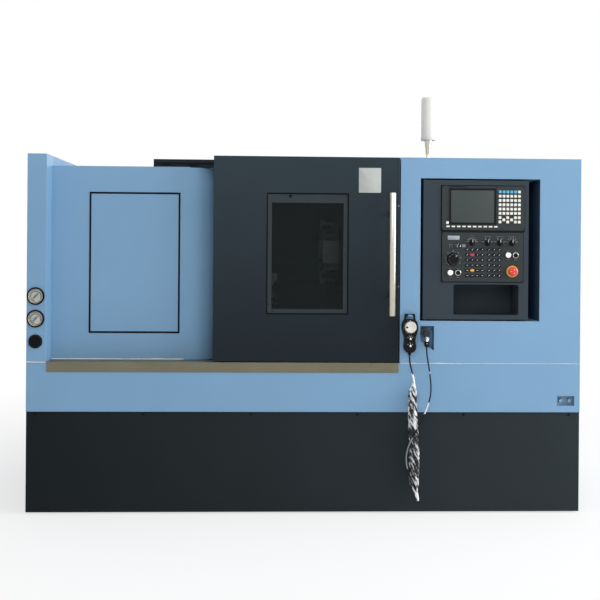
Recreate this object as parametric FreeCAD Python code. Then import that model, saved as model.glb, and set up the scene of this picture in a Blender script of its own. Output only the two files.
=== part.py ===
import FreeCAD, Part
import math
import os

# A slant-bed turning lathe in its sheet-metal guard. Millimetres, +Z up, the front faces -Y,
# and the origin is on the floor under the middle of the machine.

V = FreeCAD.Vector
LEFT_RIGHT = V(1, 0, 0)
FRONT_BACK = V(0, 1, 0)
UP = V(0, 0, 1)

# ---------------------------------------------------------------- driving dimensions
LENGTH = 2680.0
HEIGHT = 1728.0
FRONT_Y = -790.0
BACK_Y = 690.0
SHEET = 3.0
RUN_FIT = 0.05        # radial play of a pin or shaft in its bore
CLEAR = 0.3           # play between parts that slide past each other
ROUND_SIDES = 22      # flat sides of a round piece that nothing turns in
SMALL_SIDES = 12

# dark base under the guard
FLOOR_GAP = 8.0
SKIRT_SET_BACK = 6.0
SKIRT_FLANGE = 30.0
TAB_WIDTH = 60.0
TAB_HEIGHT = 150.0
TAB_Y = (-300.0, 240.0)

# guard above the base: its blue band with two ports, and the steel sill
GUARD_HEIGHT = 1000.0     # from the top of the band to the roof
BAND_HEIGHT = 236.0
BAND_TOP_FLANGE = 90.0
PORT_POCKET_WIDTH = 85.0
PORT_POCKET_HEIGHT = 48.0
PORT_END_GAP = 27.0
PORT_RISE = 31.0
PORT_DEPTH = 25.0
PORT_RADIUS = 9.0
PORT_SPREAD = 21.0
PORT_LENGTH = 15.0
SILL_SHEET = 2.0
SILL_APRON = 48.0
SILL_LEFT_MARGIN = 96.0
SLOT_END_PLAY = 5.0
SLOT_LEFT_MARGIN = 67.7

# left column with its gauges; rises are from the top of the band
COLUMN_WIDTH = 91.0
COLUMN_DEPTH = 750.0
GAUGE_INSET = 43.0
GAUGE_RISE = (317.0, 209.0)
GAUGE_RADIUS = 42.5
GAUGE_FACE_RADIUS = 36.0
GAUGE_CASE_RADIUS = 30.0
GAUGE_FLANGE = 7.0
GAUGE_FACE_DEPTH = 4.0
GAUGE_CASE_DEPTH = 38.0
NEEDLE_PIN_RADIUS = 1.5
NEEDLE_LENGTH = (-12.0, 28.0)
NEEDLE_WIDTH = 2.6
NEEDLE_THICKNESS = 1.2
NEEDLE_HUB = (4.0, 1.6)     # radius and thickness
NEEDLE_PIN = 7.0
NEEDLE_BORE = 9.0
NEEDLE_ANGLE = 45.0
PLUG_RISE = 100.0
PLUG_RADIUS = 32.5
PLUG_RIM = 2.5

# recessed cover in front of the headstock, and the door in it
RECESS = 105.0
ROOF_STEP = 48.0          # from the main roof down to the lower roof
LOWER_ROOF_FLANGE = 35.0
BEND_RADIUS = 150.0
BEND_RETURN = 95.0
BEND_OVERLAP = 25.0       # how far the bend reaches behind the sliding door
ACCESS_LEFT_MARGIN = 192.0
ACCESS_RIGHT_MARGIN = 54.0
ACCESS_RISE = 140.0
ACCESS_DROP = 136.0
ACCESS_GAP = 9.0
ACCESS_DEPTH = 15.0
ACCESS_PIN_RADIUS = 3.0
ACCESS_PIN_INSET = 7.0
ACCESS_LUG = 12.0
ACCESS_LUG_HALF = 10.0
ACCESS_LUG_BACK = 8.0
ACCESS_PIN_DEPTH = 9.0     # from the cover's face back to the pin

# sliding door
DOOR_WIDTH = 901.0
DOOR_ROOF_STEP = 1.0
DOOR_DEPTH = 60.0
DOOR_GAP = 5.0
WINDOW_LEFT_MARGIN = 256.0
WINDOW_RIGHT_MARGIN = 247.0
WINDOW_RISE = 228.0
WINDOW_DROP = 176.0
GLASS_THICKNESS = 12.0
GASKET_LIP = 6.0
GASKET_THICKNESS = 3.0
GLASS_EDGE = 12.0
SEAT_DEPTH = 28.0
RIB_WIDTH = 40.0
RIB_DEPTH = 30.0
RIB_MARGIN = (60.0, 70.0)
HANDLE_INSET = 40.0
HANDLE_DROP = 2.0         # from the window's lower edge to the bar's lower end
HANDLE_LENGTH = 592.0
HANDLE_RADIUS = 15.5
HANDLE_REACH = 46.0
HANDLE_CHAMFER = 2.0
HANDLE_POST_RADIUS = 9.0
HANDLE_POST_INSET = 98.0
HANGER_INSET = (390.0, 120.0)
HANGER_LENGTH = 80.0
HANGER_THICKNESS = 8.0
HANGER_DROP = 60.0
BEARING_DROP = 9.0
BEARING_RISE = 7.0
DOOR_LIP = 28.0
FIN_SET_BACK = 28.0
FIN_THICKNESS = 6.0
FIN_INSET = 20.0
FIN_LENGTH = 40.0
FIN_LIFT = 0.5

# beam and rail that the door hangs from
BEAM_OVERHANG = 304.0
BEAM_HEIGHT = 38.0
BEAM_SET_BACK = 110.0
BEAM_DEPTH = 120.0
BEAM_WALL = 4.0
BEAM_SLOTS = ((34.0, 83.0), (170.0, 219.0))
BEAM_SLOT_RISE = (7.0, 13.0)
RAIL_WIDTH = 10.0
RAIL_DEPTH = 14.0
RAIL_RISE = 21.0
RAIL_END_GAP = 4.0

# right cover: the recess for the operator box stands over the socket pocket
COVER_WIDTH = 885.0
RECESS_MARGIN = 97.0
RECESS_DEPTH = 190.0
STACK_DROP = 19.0         # how far recess and pocket sit below the middle of the cover
RECESS_POCKET_GAP = 25.0
BOX_LEFT_GAP = 14.0
BOX_FINGER_GAP = 56.0
BOX_Z_GAP = 7.5
BOX_DEPTH = 180.0
BOX_SET_BACK = 2.0
BOX_PIN_RADIUS = 5.0
BOX_PIN_INSET = 9.0

# faces of the operator box, from the bottom up: shelf, machine panel, display unit
SHELF_MARGIN = 149.0
SHELF_WIDTH = 320.0
SHELF_HEIGHT = 149.0
SHELF_RISE = 21.5
SHELF_DEPTH = 150.0
SHELF_CORNER = 8.0
SHELF_PANEL_GAP = 14.0
PANEL_WIDTH = 396.0
PANEL_HEIGHT = 239.0
PANEL_SHIFT = 3.0
PANEL_THICKNESS = 4.0
PANEL_DISPLAY_GAP = 10.0
DISPLAY_WIDTH = 405.0
DISPLAY_HEIGHT = 216.0
DISPLAY_LEFT_MARGIN = 89.0
DISPLAY_RIGHT_MARGIN = 22.0
DISPLAY_TOP_MARGIN = 28.5
DISPLAY_THICKNESS = 6.0
DISPLAY_CHAMFER = 1.5

# display unit; places from its lower left corner, and the first key from its upper left corner
SCREEN_PLACE = (45.0, 38.0)
SCREEN_SIZE = (212.0, 158.0)
SCREEN_SINK = 1.5
KEY_PITCH_X = 18.9
KEY_PITCH_Z = 20.9
KEY_FIRST = (284.0, 27.0)
KEY_COLUMNS = 6
KEY_ROWS = 8
SHORT_COLUMNS = (0, 2)
KEY_SIZE = 13.0
KEY_HEIGHT = 3.0
SOFT_KEY_FIRST = (30.0, 19.0)
SOFT_KEY_PITCH = 26.0
SOFT_KEY_COUNT = 10
SOFT_KEY_SIZE = (17.0, 7.0)
CORNER_KEY_OFFSET = (-3.0, 18.0)

# machine panel; places from its lower left corner
OVAL_KEY_SIZE = (20.0, 13.0)
OVAL_KEY_PITCH = 25.3
OVAL_KEY_RISE = 156.0
OVAL_KEY_COLUMNS = (123.0, 147.4, 171.8, 196.2, 229.5, 255.0, 280.5)
OVAL_KEY_ROWS = 6
PUSH_BUTTONS = ((40.0, 43.0), (78.0, 43.0), (323.5, 130.5), (359.5, 129.0))
PUSH_RADIUS = 14.0
PUSH_HEIGHT = 10.0
ESTOP_PLACE = (344.0, 51.0)
ESTOP_RADIUS = 22.5
ESTOP_STEPS = ((9.0, 0.0, 0.0), (3.0, 0.0, 2.0), (2.0, 2.0, 7.0))   # length and fall of radius at each end
ESTOP_RING_RADIUS = 28.0
ESTOP_RING_HEIGHT = 3.0
ESTOP_STEM_RADIUS = 11.0
ESTOP_TRAVEL = 5.0
OVERRIDE_PLACE = (54.0, 109.5)
OVERRIDE_RADIUS = 26.0
OVERRIDE_HEIGHT = 18.0
OVERRIDE_SKIRT = 4.0
KNOB_FLARE = 3.0
SELECTOR_COLUMNS = (145.5, 222.0, 282.0, 342.0)
SELECTOR_RISE = 189.0
SELECTOR_RADIUS = 14.5
SELECTOR_HEIGHT = 18.0
SELECTOR_FOOT = 6.0
SELECTOR_BAR_HALF = 4.0
KEY_SWITCH_PLACE = (80.0, 173.0)
KEY_SWITCH_RADIUS = 9.0
KNOB_SHAFT_RADIUS = 3.0

# handwheel pendant on its hook; drops are from the top of its body
PENDANT_MARGIN = 44.5
PENDANT_DEPTH = 42.0
PENDANT_HEIGHT = 159.0
PENDANT_LIFT = 9.0        # how far its body reaches above the lower edge of the recess
HEAD_HALF = 38.0
HEAD_TOP_HALF = 31.0
WAIST_HALF = 25.5
WAIST_DROP = 92.0
FOOT_HALF = 28.5
FOOT_DROP = 132.0
LOOP_HALF = (28.5, 24.5)  # at the body and at the top
LOOP_HEIGHT = 27.0
LOOP_BAR = 7.0
LOOP_DEPTH = 12.0
HOOK_WIDTH = 20.0
HOOK_THICKNESS = 4.0
HOOK_REACH = 34.0
HOOK_LIP = 3.0
DIAL_DROP = 36.0
DIAL_RADIUS = 28.5
DIAL_HEIGHT = 12.0
DIAL_GRIP_RADIUS = 5.0
DIAL_GRIP_PLACE = 19.0
DIAL_GRIP_HEIGHT = 4.0
DIAL_SHAFT_RADIUS = 4.0
PENDANT_KNOB_DROP = (91.0, 125.0)
PENDANT_KNOB_RADIUS = 8.5
KNOB_DISC = 6.0
KNOB_HEIGHT = 10.0
KNOB_BAR_HALF = 2.0
PENDANT_SHAFT_RADIUS = 2.5
GLAND_LENGTH = 16.0
GLAND_RADIUS = 8.0

# socket pocket below the operator box, and the angle plug in it
POCKET_MARGIN = 100.0
POCKET_WIDTH = 67.0
POCKET_HEIGHT = 120.0
POCKET_STEP = 48.0        # how much higher its lower edge starts at the left
POCKET_DEPTH = 52.0
POCKET_WALL = 2.0
SOCKET_PLACE = (28.0, 36.0)
SOCKET_RADIUS = 18.0
SOCKET_REACH = 36.0
PLUG_NECK_RADIUS = 8.0
PLUG_NECK_LENGTH = 37.0
PLUG_BODY_RADIUS = 11.5
PLUG_BODY_LENGTH = 29.0
PLUG_TAPER = 7.0
PLUG_HEAD_LENGTH = 14.0

# signal lamp
LAMP_MARGIN = 147.0
LAMP_SET_BACK = 90.0
LAMP_RADIUS = 36.5
LAMP_HEIGHT = 214.0
LAMP_EDGE = 3.0
STEM_HEIGHT = 93.0
STEM_FOOT = 6.0
STEM_TOP_RADIUS = 19.0
STEM_BOTTOM_RADIUS = 10.0

# cast bed and spindle
BASE_END_GAP = 100.0
BASE_SET_BACK = 90.0
BASE_BACK_GAP = 50.0
BASE_BOTTOM = 70.0
BASE_TOP = 300.0
BASE_CHAMFER = 40.0
BED_RIGHT_GAP = 190.0
BED_BACK_GAP = 360.0
BED_TOP_RISE = 130.0
BED_SLOPE = 45.0
SPINDLE_SET_BACK = 480.0
SPINDLE_OVERHANG = 90.0
SPINDLE_OVER_BAND = 322.0
SPINDLE_RISE = 290.0
WAY_HEIGHT = 20.0
WAYS = ((-240.0, -180.0), (-70.0, -10.0), (30.0, 90.0), (330.0, 390.0))
WAYS_WALL_GAP = 26.0
FOOT_PAD_RADIUS = 55.0
FOOT_PAD_HEIGHT = 18.0
FOOT_STUD_RADIUS = 12.0
FOOT_NUT_HEIGHT = 18.0
FOOT_NUT_RADIUS = 21.6
FOOT_TOP_RADIUS = 33.0
FOOT_SIDES = 6
FOOT_END_INSET = 110.0
FOOT_SIDE_INSET = 100.0

HEADSTOCK_LEFT_GAP = 340.0
HEADSTOCK_WALL_GAP = 14.0
HEADSTOCK_HALF = 170.0
HEADSTOCK_TALL = 460.0
NOSE_REACH = 126.0
NOSE_RADIUS = 120.0
SPINDLE_RADIUS = 60.0
BAR_RADIUS = 26.0
SPINDLE_TAIL = 150.0
FLANGE_RADIUS = 85.0
FLANGE_LENGTH = 20.0
CHUCK_RADIUS = 105.0
CHUCK_LENGTH = 95.0
CHUCK_EDGE = 4.0
JAW_WIDTH = 34.0
JAW_LENGTH = 45.0
JAW_LOW = 27.0
JAW_STEP = 18.0
JAW_REACH = (34.0, 96.0)
JAW_ROOT = 12.0
JAW_STROKE = 4.0
PULLEY_RADIUS = 110.0
PULLEY_WIDTH = 60.0
PULLEY_GAP = 20.0
MOTOR_PULLEY_RADIUS = 80.0
MOTOR_BED_GAP = 30.0
MOTOR_RADIUS = 120.0
MOTOR_LENGTH = 340.0
MOTOR_SHAFT_RADIUS = 21.0
MOTOR_SHAFT_DEPTH = 78.0
MOTOR_FOOT = 140.0
MOTOR_FOOT_INSET = 40.0
MOTOR_FOOT_HALF = 90.0
BELT_THICKNESS = 6.0
BELT_MARGIN = 3.0

# carriage, cross slide, turret and tailstock, along the slope (u) and off it (n)
CARRIAGE_START = 460.0
CARRIAGE_LENGTH = 300.0
CARRIAGE_U = (10.0, 430.0)
CARRIAGE_TALL = 50.0
KEEPER_LIFT = 2.0
SLIDE_INSET = 30.0
SLIDE_U = (150.0, 420.0)
SLIDE_TALL = 50.0
DOVETAIL_WIDTH = 120.0
DOVETAIL_TALL = 20.0
TURRET_U = 300.0
HOUSING_INSET = (46.0, 40.0)
TURRET_HOUSING_HALF = 100.0
DISC_GAP = 6.0
DISC_WIDTH = 90.0
DISC_RADIUS = 150.0
DISC_STATIONS = 8
DISC_HUB_RADIUS = 63.0
DISC_HUB_LENGTH = 14.0
DISC_SHAFT_RADIUS = 40.0
DISC_SHAFT_LENGTH = 110.0
BORE_END_PLAY = 10.0
HOLDER_INSET = 12.0
HOLDER_HALF = 26.0
HOLDER_TALL = 14.0
HOLDER_SINK = 2.0
TOOL_SIZE = 25.0
TOOL_REACH = 28.0
TOOL_ROOT = 40.0
TOOL_OUT = 6.0
TAILSTOCK_END_GAP = 250.0
TAILSTOCK_LENGTH = 260.0
TAILSTOCK_U = (-250.0, 4.0)
TAILSTOCK_BASE = 100.0
TAILSTOCK_HALF = 80.0
TAILSTOCK_WALL = 21.0
QUILL_RADIUS = 35.0
QUILL_OUT = 40.0
QUILL_LENGTH = 240.0
CENTRE_RADIUS = 21.0
CENTRE_TIP = 1.5
CENTRE_LENGTH = 50.0

# inner guard, coolant tank and electrical cabinet
TROUGH_RISE = 120.0
TROUGH_SET_BACK = 150.0
APRON_SET_BACK = 45.0
WALL_ON_BED = 10.0
FRONT_WALL_SET_BACK = 230.0
TANK_MOTOR_GAP = 180.0
TANK_LENGTH = 1200.0
TANK_BED_GAP = 15.0
TANK_HEIGHT = 220.0
PUMP_RADIUS = 60.0
PUMP_HEIGHT = 240.0
PUMP_INSET = 120.0
LID_INSET = 40.0
LID_SIDE_INSET = 30.0
LID_PUMP_GAP = 120.0
LID_THICKNESS = 6.0
CABINET_RIGHT_GAP = 240.0
CABINET_WIDTH = 1000.0
CABINET_TOP_GAP = 128.0
CABINET_HEIGHT = 1100.0
CABINET_DEPTH = 150.0
CABINET_DOOR_DEPTH = 20.0
CABINET_PIN_RADIUS = 5.0
CABINET_PIN_LENGTH = 9.0
CABINET_PIN_OUT = 8.0
CABINET_LUG = 10.0
CABINET_LUG_INSET = 14.0
CABINET_LUG_HALF = 10.0
CABINET_LUG_BACK = 40.0
KNUCKLE_LENGTH = 60.0
KNUCKLE_WALL = 2.0
DEVICE_PLATE_INSET = 60.0
DEVICE_PLATE = 6.0
DEVICE_INSET = 110.0
DEVICE_PITCH = 270.0
DEVICE_COUNT = 3
DEVICE_SIZE = (220.0, 91.0, 300.0)
DEVICE_DROP = 120.0
DEVICE_ROW_DEPTH = 61.0
DEVICE_ROW_RISE = (260.0, 380.0)
LATCH_SIZE = (30.0, 6.0, 100.0)
LATCH_INSET = 30.0
VENT_PLACE = (200.0, 120.0)
VENT_SIZE = (220.0, 8.0)
VENT_PITCH = 24.0
VENT_COUNT = 5

# hanging leads
LEAD_SIDES = 6
LEAD_RADIUS = 3.5
PLUG_LEAD_RADIUS = 3.25
PENDANT_LEAD_OUT = 21.0
BUNDLE_OUT = 28.0
PLUG_OUT = 18.0

# ---------------------------------------------------------------- places worked out from them
LEFT_X = -LENGTH / 2
RIGHT_X = LENGTH / 2
BAND_TOP = HEIGHT - GUARD_HEIGHT
SKIRT_TOP = BAND_TOP - BAND_HEIGHT
HEAD_COVER_TOP = HEIGHT - ROOF_STEP
COLUMN_X = LEFT_X + COLUMN_WIDTH
COVER_X = RIGHT_X - COVER_WIDTH
HEAD_Y = FRONT_Y + RECESS
PORT_X = (RIGHT_X - PORT_END_GAP - PORT_POCKET_WIDTH, RIGHT_X - PORT_END_GAP)
PORT_Z = (SKIRT_TOP + PORT_RISE, SKIRT_TOP + PORT_RISE + PORT_POCKET_HEIGHT)
GAUGE_X = LEFT_X + GAUGE_INSET
GAUGE_Z = tuple(BAND_TOP + rise for rise in GAUGE_RISE)
PLUG_Z = BAND_TOP + PLUG_RISE

DOOR_X = (COVER_X - DOOR_GAP - DOOR_WIDTH, COVER_X - DOOR_GAP)
SILL_TOP = BAND_TOP + SILL_SHEET
DOOR_TRAVEL = (DOOR_X[0] + FIN_INSET - CLEAR - SLOT_END_PLAY
               - LEFT_X - SILL_LEFT_MARGIN - SLOT_LEFT_MARGIN)
DOOR_BOTTOM = SILL_TOP + DOOR_GAP
DOOR_TOP = HEIGHT - DOOR_ROOF_STEP
WINDOW_X = (DOOR_X[0] + WINDOW_LEFT_MARGIN, DOOR_X[1] - WINDOW_RIGHT_MARGIN)
WINDOW_Z = (DOOR_BOTTOM + WINDOW_RISE, DOOR_TOP - WINDOW_DROP)
HANDLE_X = DOOR_X[1] - HANDLE_INSET
HANDLE_Z = (WINDOW_Z[0] - HANDLE_DROP, WINDOW_Z[0] - HANDLE_DROP + HANDLE_LENGTH)
FIN_Y = (FRONT_Y + FIN_SET_BACK, FRONT_Y + FIN_SET_BACK + FIN_THICKNESS)
BEAM_LEFT_X = DOOR_X[0] - BEAM_OVERHANG
BEAM_Y = FRONT_Y + BEAM_SET_BACK
BEAM_TOP = HEAD_COVER_TOP + BEAM_HEIGHT
RAIL_Z = HEAD_COVER_TOP + RAIL_RISE
BEND_END_X = DOOR_X[0] + BEND_OVERLAP
BEND_START_X = BEND_END_X - BEND_RADIUS
ACCESS_X = (COLUMN_X + ACCESS_LEFT_MARGIN, BEND_START_X - ACCESS_RIGHT_MARGIN)
ACCESS_Z = (BAND_TOP + ACCESS_RISE, HEAD_COVER_TOP - ACCESS_DROP)

BOX_WIDTH = DISPLAY_LEFT_MARGIN + DISPLAY_WIDTH + DISPLAY_RIGHT_MARGIN
BOX_HEIGHT = (SHELF_RISE + SHELF_HEIGHT + SHELF_PANEL_GAP + PANEL_HEIGHT + PANEL_DISPLAY_GAP
              + DISPLAY_HEIGHT + DISPLAY_TOP_MARGIN)
RECESS_HEIGHT = BOX_HEIGHT + 2 * BOX_Z_GAP
COVER_SPARE = GUARD_HEIGHT - RECESS_HEIGHT - RECESS_POCKET_GAP - POCKET_HEIGHT
POCKET_RIGHT_Z = BAND_TOP + COVER_SPARE / 2 - STACK_DROP
POCKET_LEFT_Z = POCKET_RIGHT_Z + POCKET_STEP
POCKET_TOP = POCKET_RIGHT_Z + POCKET_HEIGHT
POCKET_X = (COVER_X + POCKET_MARGIN, COVER_X + POCKET_MARGIN + POCKET_WIDTH)
RECESS_Z = (POCKET_TOP + RECESS_POCKET_GAP, POCKET_TOP + RECESS_POCKET_GAP + RECESS_HEIGHT)
BOX_X = (COVER_X + RECESS_MARGIN + BOX_LEFT_GAP, COVER_X + RECESS_MARGIN + BOX_LEFT_GAP + BOX_WIDTH)
RECESS_X = (COVER_X + RECESS_MARGIN, BOX_X[1] + BOX_FINGER_GAP)
BOX_Y = FRONT_Y + BOX_SET_BACK
BOX_Z = (RECESS_Z[0] + BOX_Z_GAP, RECESS_Z[1] - BOX_Z_GAP)
SHELF_X = (BOX_X[0] + SHELF_MARGIN, BOX_X[0] + SHELF_MARGIN + SHELF_WIDTH)
SHELF_Z = (BOX_Z[0] + SHELF_RISE, BOX_Z[0] + SHELF_RISE + SHELF_HEIGHT)
DISPLAY_X = (BOX_X[0] + DISPLAY_LEFT_MARGIN, BOX_X[1] - DISPLAY_RIGHT_MARGIN)
DISPLAY_Z = (BOX_Z[1] - DISPLAY_TOP_MARGIN - DISPLAY_HEIGHT, BOX_Z[1] - DISPLAY_TOP_MARGIN)
SCREEN_X = (DISPLAY_X[0] + SCREEN_PLACE[0], DISPLAY_X[0] + SCREEN_PLACE[0] + SCREEN_SIZE[0])
SCREEN_Z = (DISPLAY_Z[0] + SCREEN_PLACE[1], DISPLAY_Z[0] + SCREEN_PLACE[1] + SCREEN_SIZE[1])
PANEL_X = (DISPLAY_X[0] + PANEL_SHIFT, DISPLAY_X[0] + PANEL_SHIFT + PANEL_WIDTH)
PANEL_Y = BOX_Y - PANEL_THICKNESS
PANEL_Z = (SHELF_Z[1] + SHELF_PANEL_GAP, SHELF_Z[1] + SHELF_PANEL_GAP + PANEL_HEIGHT)
ESTOP_AT = (PANEL_X[0] + ESTOP_PLACE[0], PANEL_Z[0] + ESTOP_PLACE[1])
OVERRIDE_AT = (PANEL_X[0] + OVERRIDE_PLACE[0], PANEL_Z[0] + OVERRIDE_PLACE[1])
KEY_SWITCH_AT = (PANEL_X[0] + KEY_SWITCH_PLACE[0], PANEL_Z[0] + KEY_SWITCH_PLACE[1])
SELECTOR_X = tuple(PANEL_X[0] + place for place in SELECTOR_COLUMNS)
SELECTOR_Z = PANEL_Z[0] + SELECTOR_RISE

PENDANT_X = COVER_X + PENDANT_MARGIN
PENDANT_TOP = RECESS_Z[0] + PENDANT_LIFT
PENDANT_BOTTOM = PENDANT_TOP - PENDANT_HEIGHT
LOOP_TOP = PENDANT_TOP + LOOP_HEIGHT
DIAL_Z = PENDANT_TOP - DIAL_DROP
PENDANT_KNOB_Z = tuple(PENDANT_TOP - drop for drop in PENDANT_KNOB_DROP)
SOCKET_X = POCKET_X[0] + SOCKET_PLACE[0]
SOCKET_Z = POCKET_TOP - SOCKET_PLACE[1]
PLUG_BOTTOM = SOCKET_Z - PLUG_NECK_LENGTH - PLUG_BODY_LENGTH
LAMP_X = COVER_X + LAMP_MARGIN
LAMP_Y = FRONT_Y + LAMP_SET_BACK

BASE_HALF_LENGTH = RIGHT_X - BASE_END_GAP
BASE_FRONT_Y = FRONT_Y + BASE_SET_BACK
BASE_BACK_Y = BACK_Y - BASE_BACK_GAP
FOOT_X = (FOOT_END_INSET - BASE_HALF_LENGTH, 0.0, BASE_HALF_LENGTH - FOOT_END_INSET)
FOOT_Y = (BASE_FRONT_Y + FOOT_SIDE_INSET, BASE_BACK_Y - FOOT_SIDE_INSET)
SLOPE = math.radians(BED_SLOPE)
SPINDLE_Y = FRONT_Y + SPINDLE_SET_BACK
SPINDLE_Z = BAND_TOP + SPINDLE_OVER_BAND
BED_Y = SPINDLE_Y + SPINDLE_RISE * math.sin(SLOPE)
BED_Z = SPINDLE_Z - SPINDLE_RISE * math.cos(SLOPE)
BED_TOP = SPINDLE_Z + BED_TOP_RISE
BED_FRONT_Y = SPINDLE_Y - SPINDLE_OVERHANG
BED_BACK_Y = BACK_Y - BED_BACK_GAP
BED_TOP_Y = BED_Y + (BED_TOP - BED_Z) / math.tan(SLOPE)
BED_RIGHT_X = RIGHT_X - BED_RIGHT_GAP
WAYS_LEFT_X = BEND_END_X + WAYS_WALL_GAP
HEADSTOCK_X = (LEFT_X + HEADSTOCK_LEFT_GAP, BEND_END_X - HEADSTOCK_WALL_GAP)
SPINDLE_TAIL_X = HEADSTOCK_X[0] - SPINDLE_TAIL
NOSE_X = BEND_END_X + NOSE_REACH
CHUCK_X = NOSE_X + CLEAR + FLANGE_LENGTH
PULLEY_X = HEADSTOCK_X[0] - PULLEY_GAP - PULLEY_WIDTH
MOTOR_X = (PULLEY_X + PULLEY_WIDTH, PULLEY_X + PULLEY_WIDTH + MOTOR_LENGTH)
MOTOR_Y = BED_BACK_Y + MOTOR_BED_GAP + MOTOR_RADIUS
MOTOR_Z = BASE_TOP + MOTOR_FOOT + MOTOR_RADIUS
CARRIAGE_X = (NOSE_X + CARRIAGE_START, NOSE_X + CARRIAGE_START + CARRIAGE_LENGTH)
GUIDE_X = (CARRIAGE_X[0] + CARRIAGE_X[1]) / 2
SLIDE_X = (CARRIAGE_X[0] + SLIDE_INSET, CARRIAGE_X[1] - SLIDE_INSET)
TURRET_HOUSING_X = (CARRIAGE_X[0] + HOUSING_INSET[0], CARRIAGE_X[1] - HOUSING_INSET[1])
DISC_X = (TURRET_HOUSING_X[0] - DISC_GAP - DISC_WIDTH, TURRET_HOUSING_X[0] - DISC_GAP)
TAILSTOCK_X = (BED_RIGHT_X - TAILSTOCK_END_GAP - TAILSTOCK_LENGTH, BED_RIGHT_X - TAILSTOCK_END_GAP)
QUILL_FRONT_X = TAILSTOCK_X[0] - QUILL_OUT

TROUGH_Z = BASE_TOP + TROUGH_RISE
TROUGH_FRONT_Y = FRONT_Y + TROUGH_SET_BACK
APRON_Y = FRONT_Y + APRON_SET_BACK
BACK_WALL_Y = BED_TOP_Y + WALL_ON_BED
FRONT_WALL_Y = FRONT_Y + FRONT_WALL_SET_BACK
TANK_X = (MOTOR_X[1] + TANK_MOTOR_GAP, MOTOR_X[1] + TANK_MOTOR_GAP + TANK_LENGTH)
TANK_Y = (BED_BACK_Y + TANK_BED_GAP, BASE_BACK_Y)
CABINET_X = (RIGHT_X - CABINET_RIGHT_GAP - CABINET_WIDTH, RIGHT_X - CABINET_RIGHT_GAP)
CABINET_Z = (HEIGHT - CABINET_TOP_GAP - CABINET_HEIGHT, HEIGHT - CABINET_TOP_GAP)
PENDANT_LEAD_Y = FRONT_Y - PENDANT_LEAD_OUT
BUNDLE_Y = FRONT_Y - BUNDLE_OUT
PLUG_Y = FRONT_Y - PLUG_OUT
BED_LEFT_X = HEADSTOCK_X[0]
HANGER_X = tuple(DOOR_X[1] - inset for inset in HANGER_INSET)
BEAM_SLOT_X = tuple((BEAM_LEFT_X + a, BEAM_LEFT_X + b) for a, b in BEAM_SLOTS)
KEY_FIRST_X = DISPLAY_X[0] + KEY_FIRST[0]
KEY_FIRST_Z = DISPLAY_Z[1] - KEY_FIRST[1]
SOFT_KEY_FIRST_X = DISPLAY_X[0] + SOFT_KEY_FIRST[0]
SOFT_KEY_Z = DISPLAY_Z[0] + SOFT_KEY_FIRST[1]
OVAL_KEY_Z = PANEL_Z[0] + OVAL_KEY_RISE


# ---------------------------------------------------------------- helpers
def block(x, y, z):
    """A box between three (low, high) pairs."""
    return Part.makeBox(x[1] - x[0], y[1] - y[0], z[1] - z[0], V(x[0], y[0], z[0]))


def rod(start, direction, radius, length):
    return Part.makeCylinder(radius, length, V(*start), direction)


def ring_corners(centre, across, side, radius, sides):
    """Corners of a regular polygon in the plane of two unit vectors."""
    step = 2 * math.pi / sides
    return [centre + across * (radius * math.cos(k * step)) + side * (radius * math.sin(k * step))
            for k in range(sides)]


def skin(rings):
    """A closed solid through like, parallel rings of corners, with flat sides and flat ends."""
    faces = []
    for low, high in zip(rings, rings[1:]):
        for k in range(len(low)):
            after = (k + 1) % len(low)
            faces.append(Part.Face(Part.makePolygon([low[k], low[after], high[after], high[k], low[k]])))
    for ring in (rings[0], rings[-1]):
        faces.append(Part.Face(Part.makePolygon(ring + ring[:1])))
    shell = Part.makeShell(faces)
    shell.sewShape()
    solid = Part.makeSolid(shell)
    return solid if solid.Volume > 0 else solid.reversed()


def many_sided(start, direction, radius, length, sides, end_radius=None):
    """A regular prism along a direction, or a taper where the end radius differs."""
    across = LEFT_RIGHT if abs(direction.x) < 0.5 else UP
    side = direction.cross(across)
    first = V(*start)
    return skin([ring_corners(first, across, side, radius, sides),
                 ring_corners(first + direction * length, across, side, end_radius or radius, sides)])


def small_bore(start, direction, shaft_radius, length):
    """A many-sided bore whose flats clear a shaft of that radius by the running fit."""
    radius = (shaft_radius + RUN_FIT) / math.cos(math.pi / SMALL_SIDES)
    return many_sided(start, direction, radius, length, SMALL_SIDES)


def prism(points, push):
    """A flat polygon of 3-D points pushed along a vector."""
    corners = [V(*p) for p in points]
    return Part.Face(Part.makePolygon(corners + corners[:1])).extrude(push)


def fuse(parts):
    return parts[0].multiFuse(parts[1:]).removeSplitter()


def cut(shape, tools):
    return shape.cut(tools)


def on_slope(u, n):
    """(y, z) of a place u up the bed's slope and n off it."""
    y = BED_Y + u * math.cos(SLOPE) - n * math.sin(SLOPE)
    z = BED_Z + u * math.sin(SLOPE) + n * math.cos(SLOPE)
    return y, z


def slant_block(x, u, n):
    """A box that lies along the bed's slope."""
    corners = [(x[0], *on_slope(a, b)) for a, b in
               ((u[0], n[0]), (u[1], n[0]), (u[1], n[1]), (u[0], n[1]))]
    return prism(corners, V(x[1] - x[0], 0, 0))


def frame_ring(x, z, width, y):
    """A flat rectangular ring, width wide inside the given outline."""
    hole = block((x[0] + width, x[1] - width), y, (z[0] + width, z[1] - width))
    return block(x, y, z).cut(hole)


def grown(pair, by):
    return pair[0] - by, pair[1] + by


def save(name, shape):
    solids = shape.Solids
    for solid in solids:
        assert solid.isValid(), name
    shape.exportStep("parts/%s.step" % name)
    print("%-20s %3d solid(s) %12.0f mm3" % (name, len(solids), shape.Volume))


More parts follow.
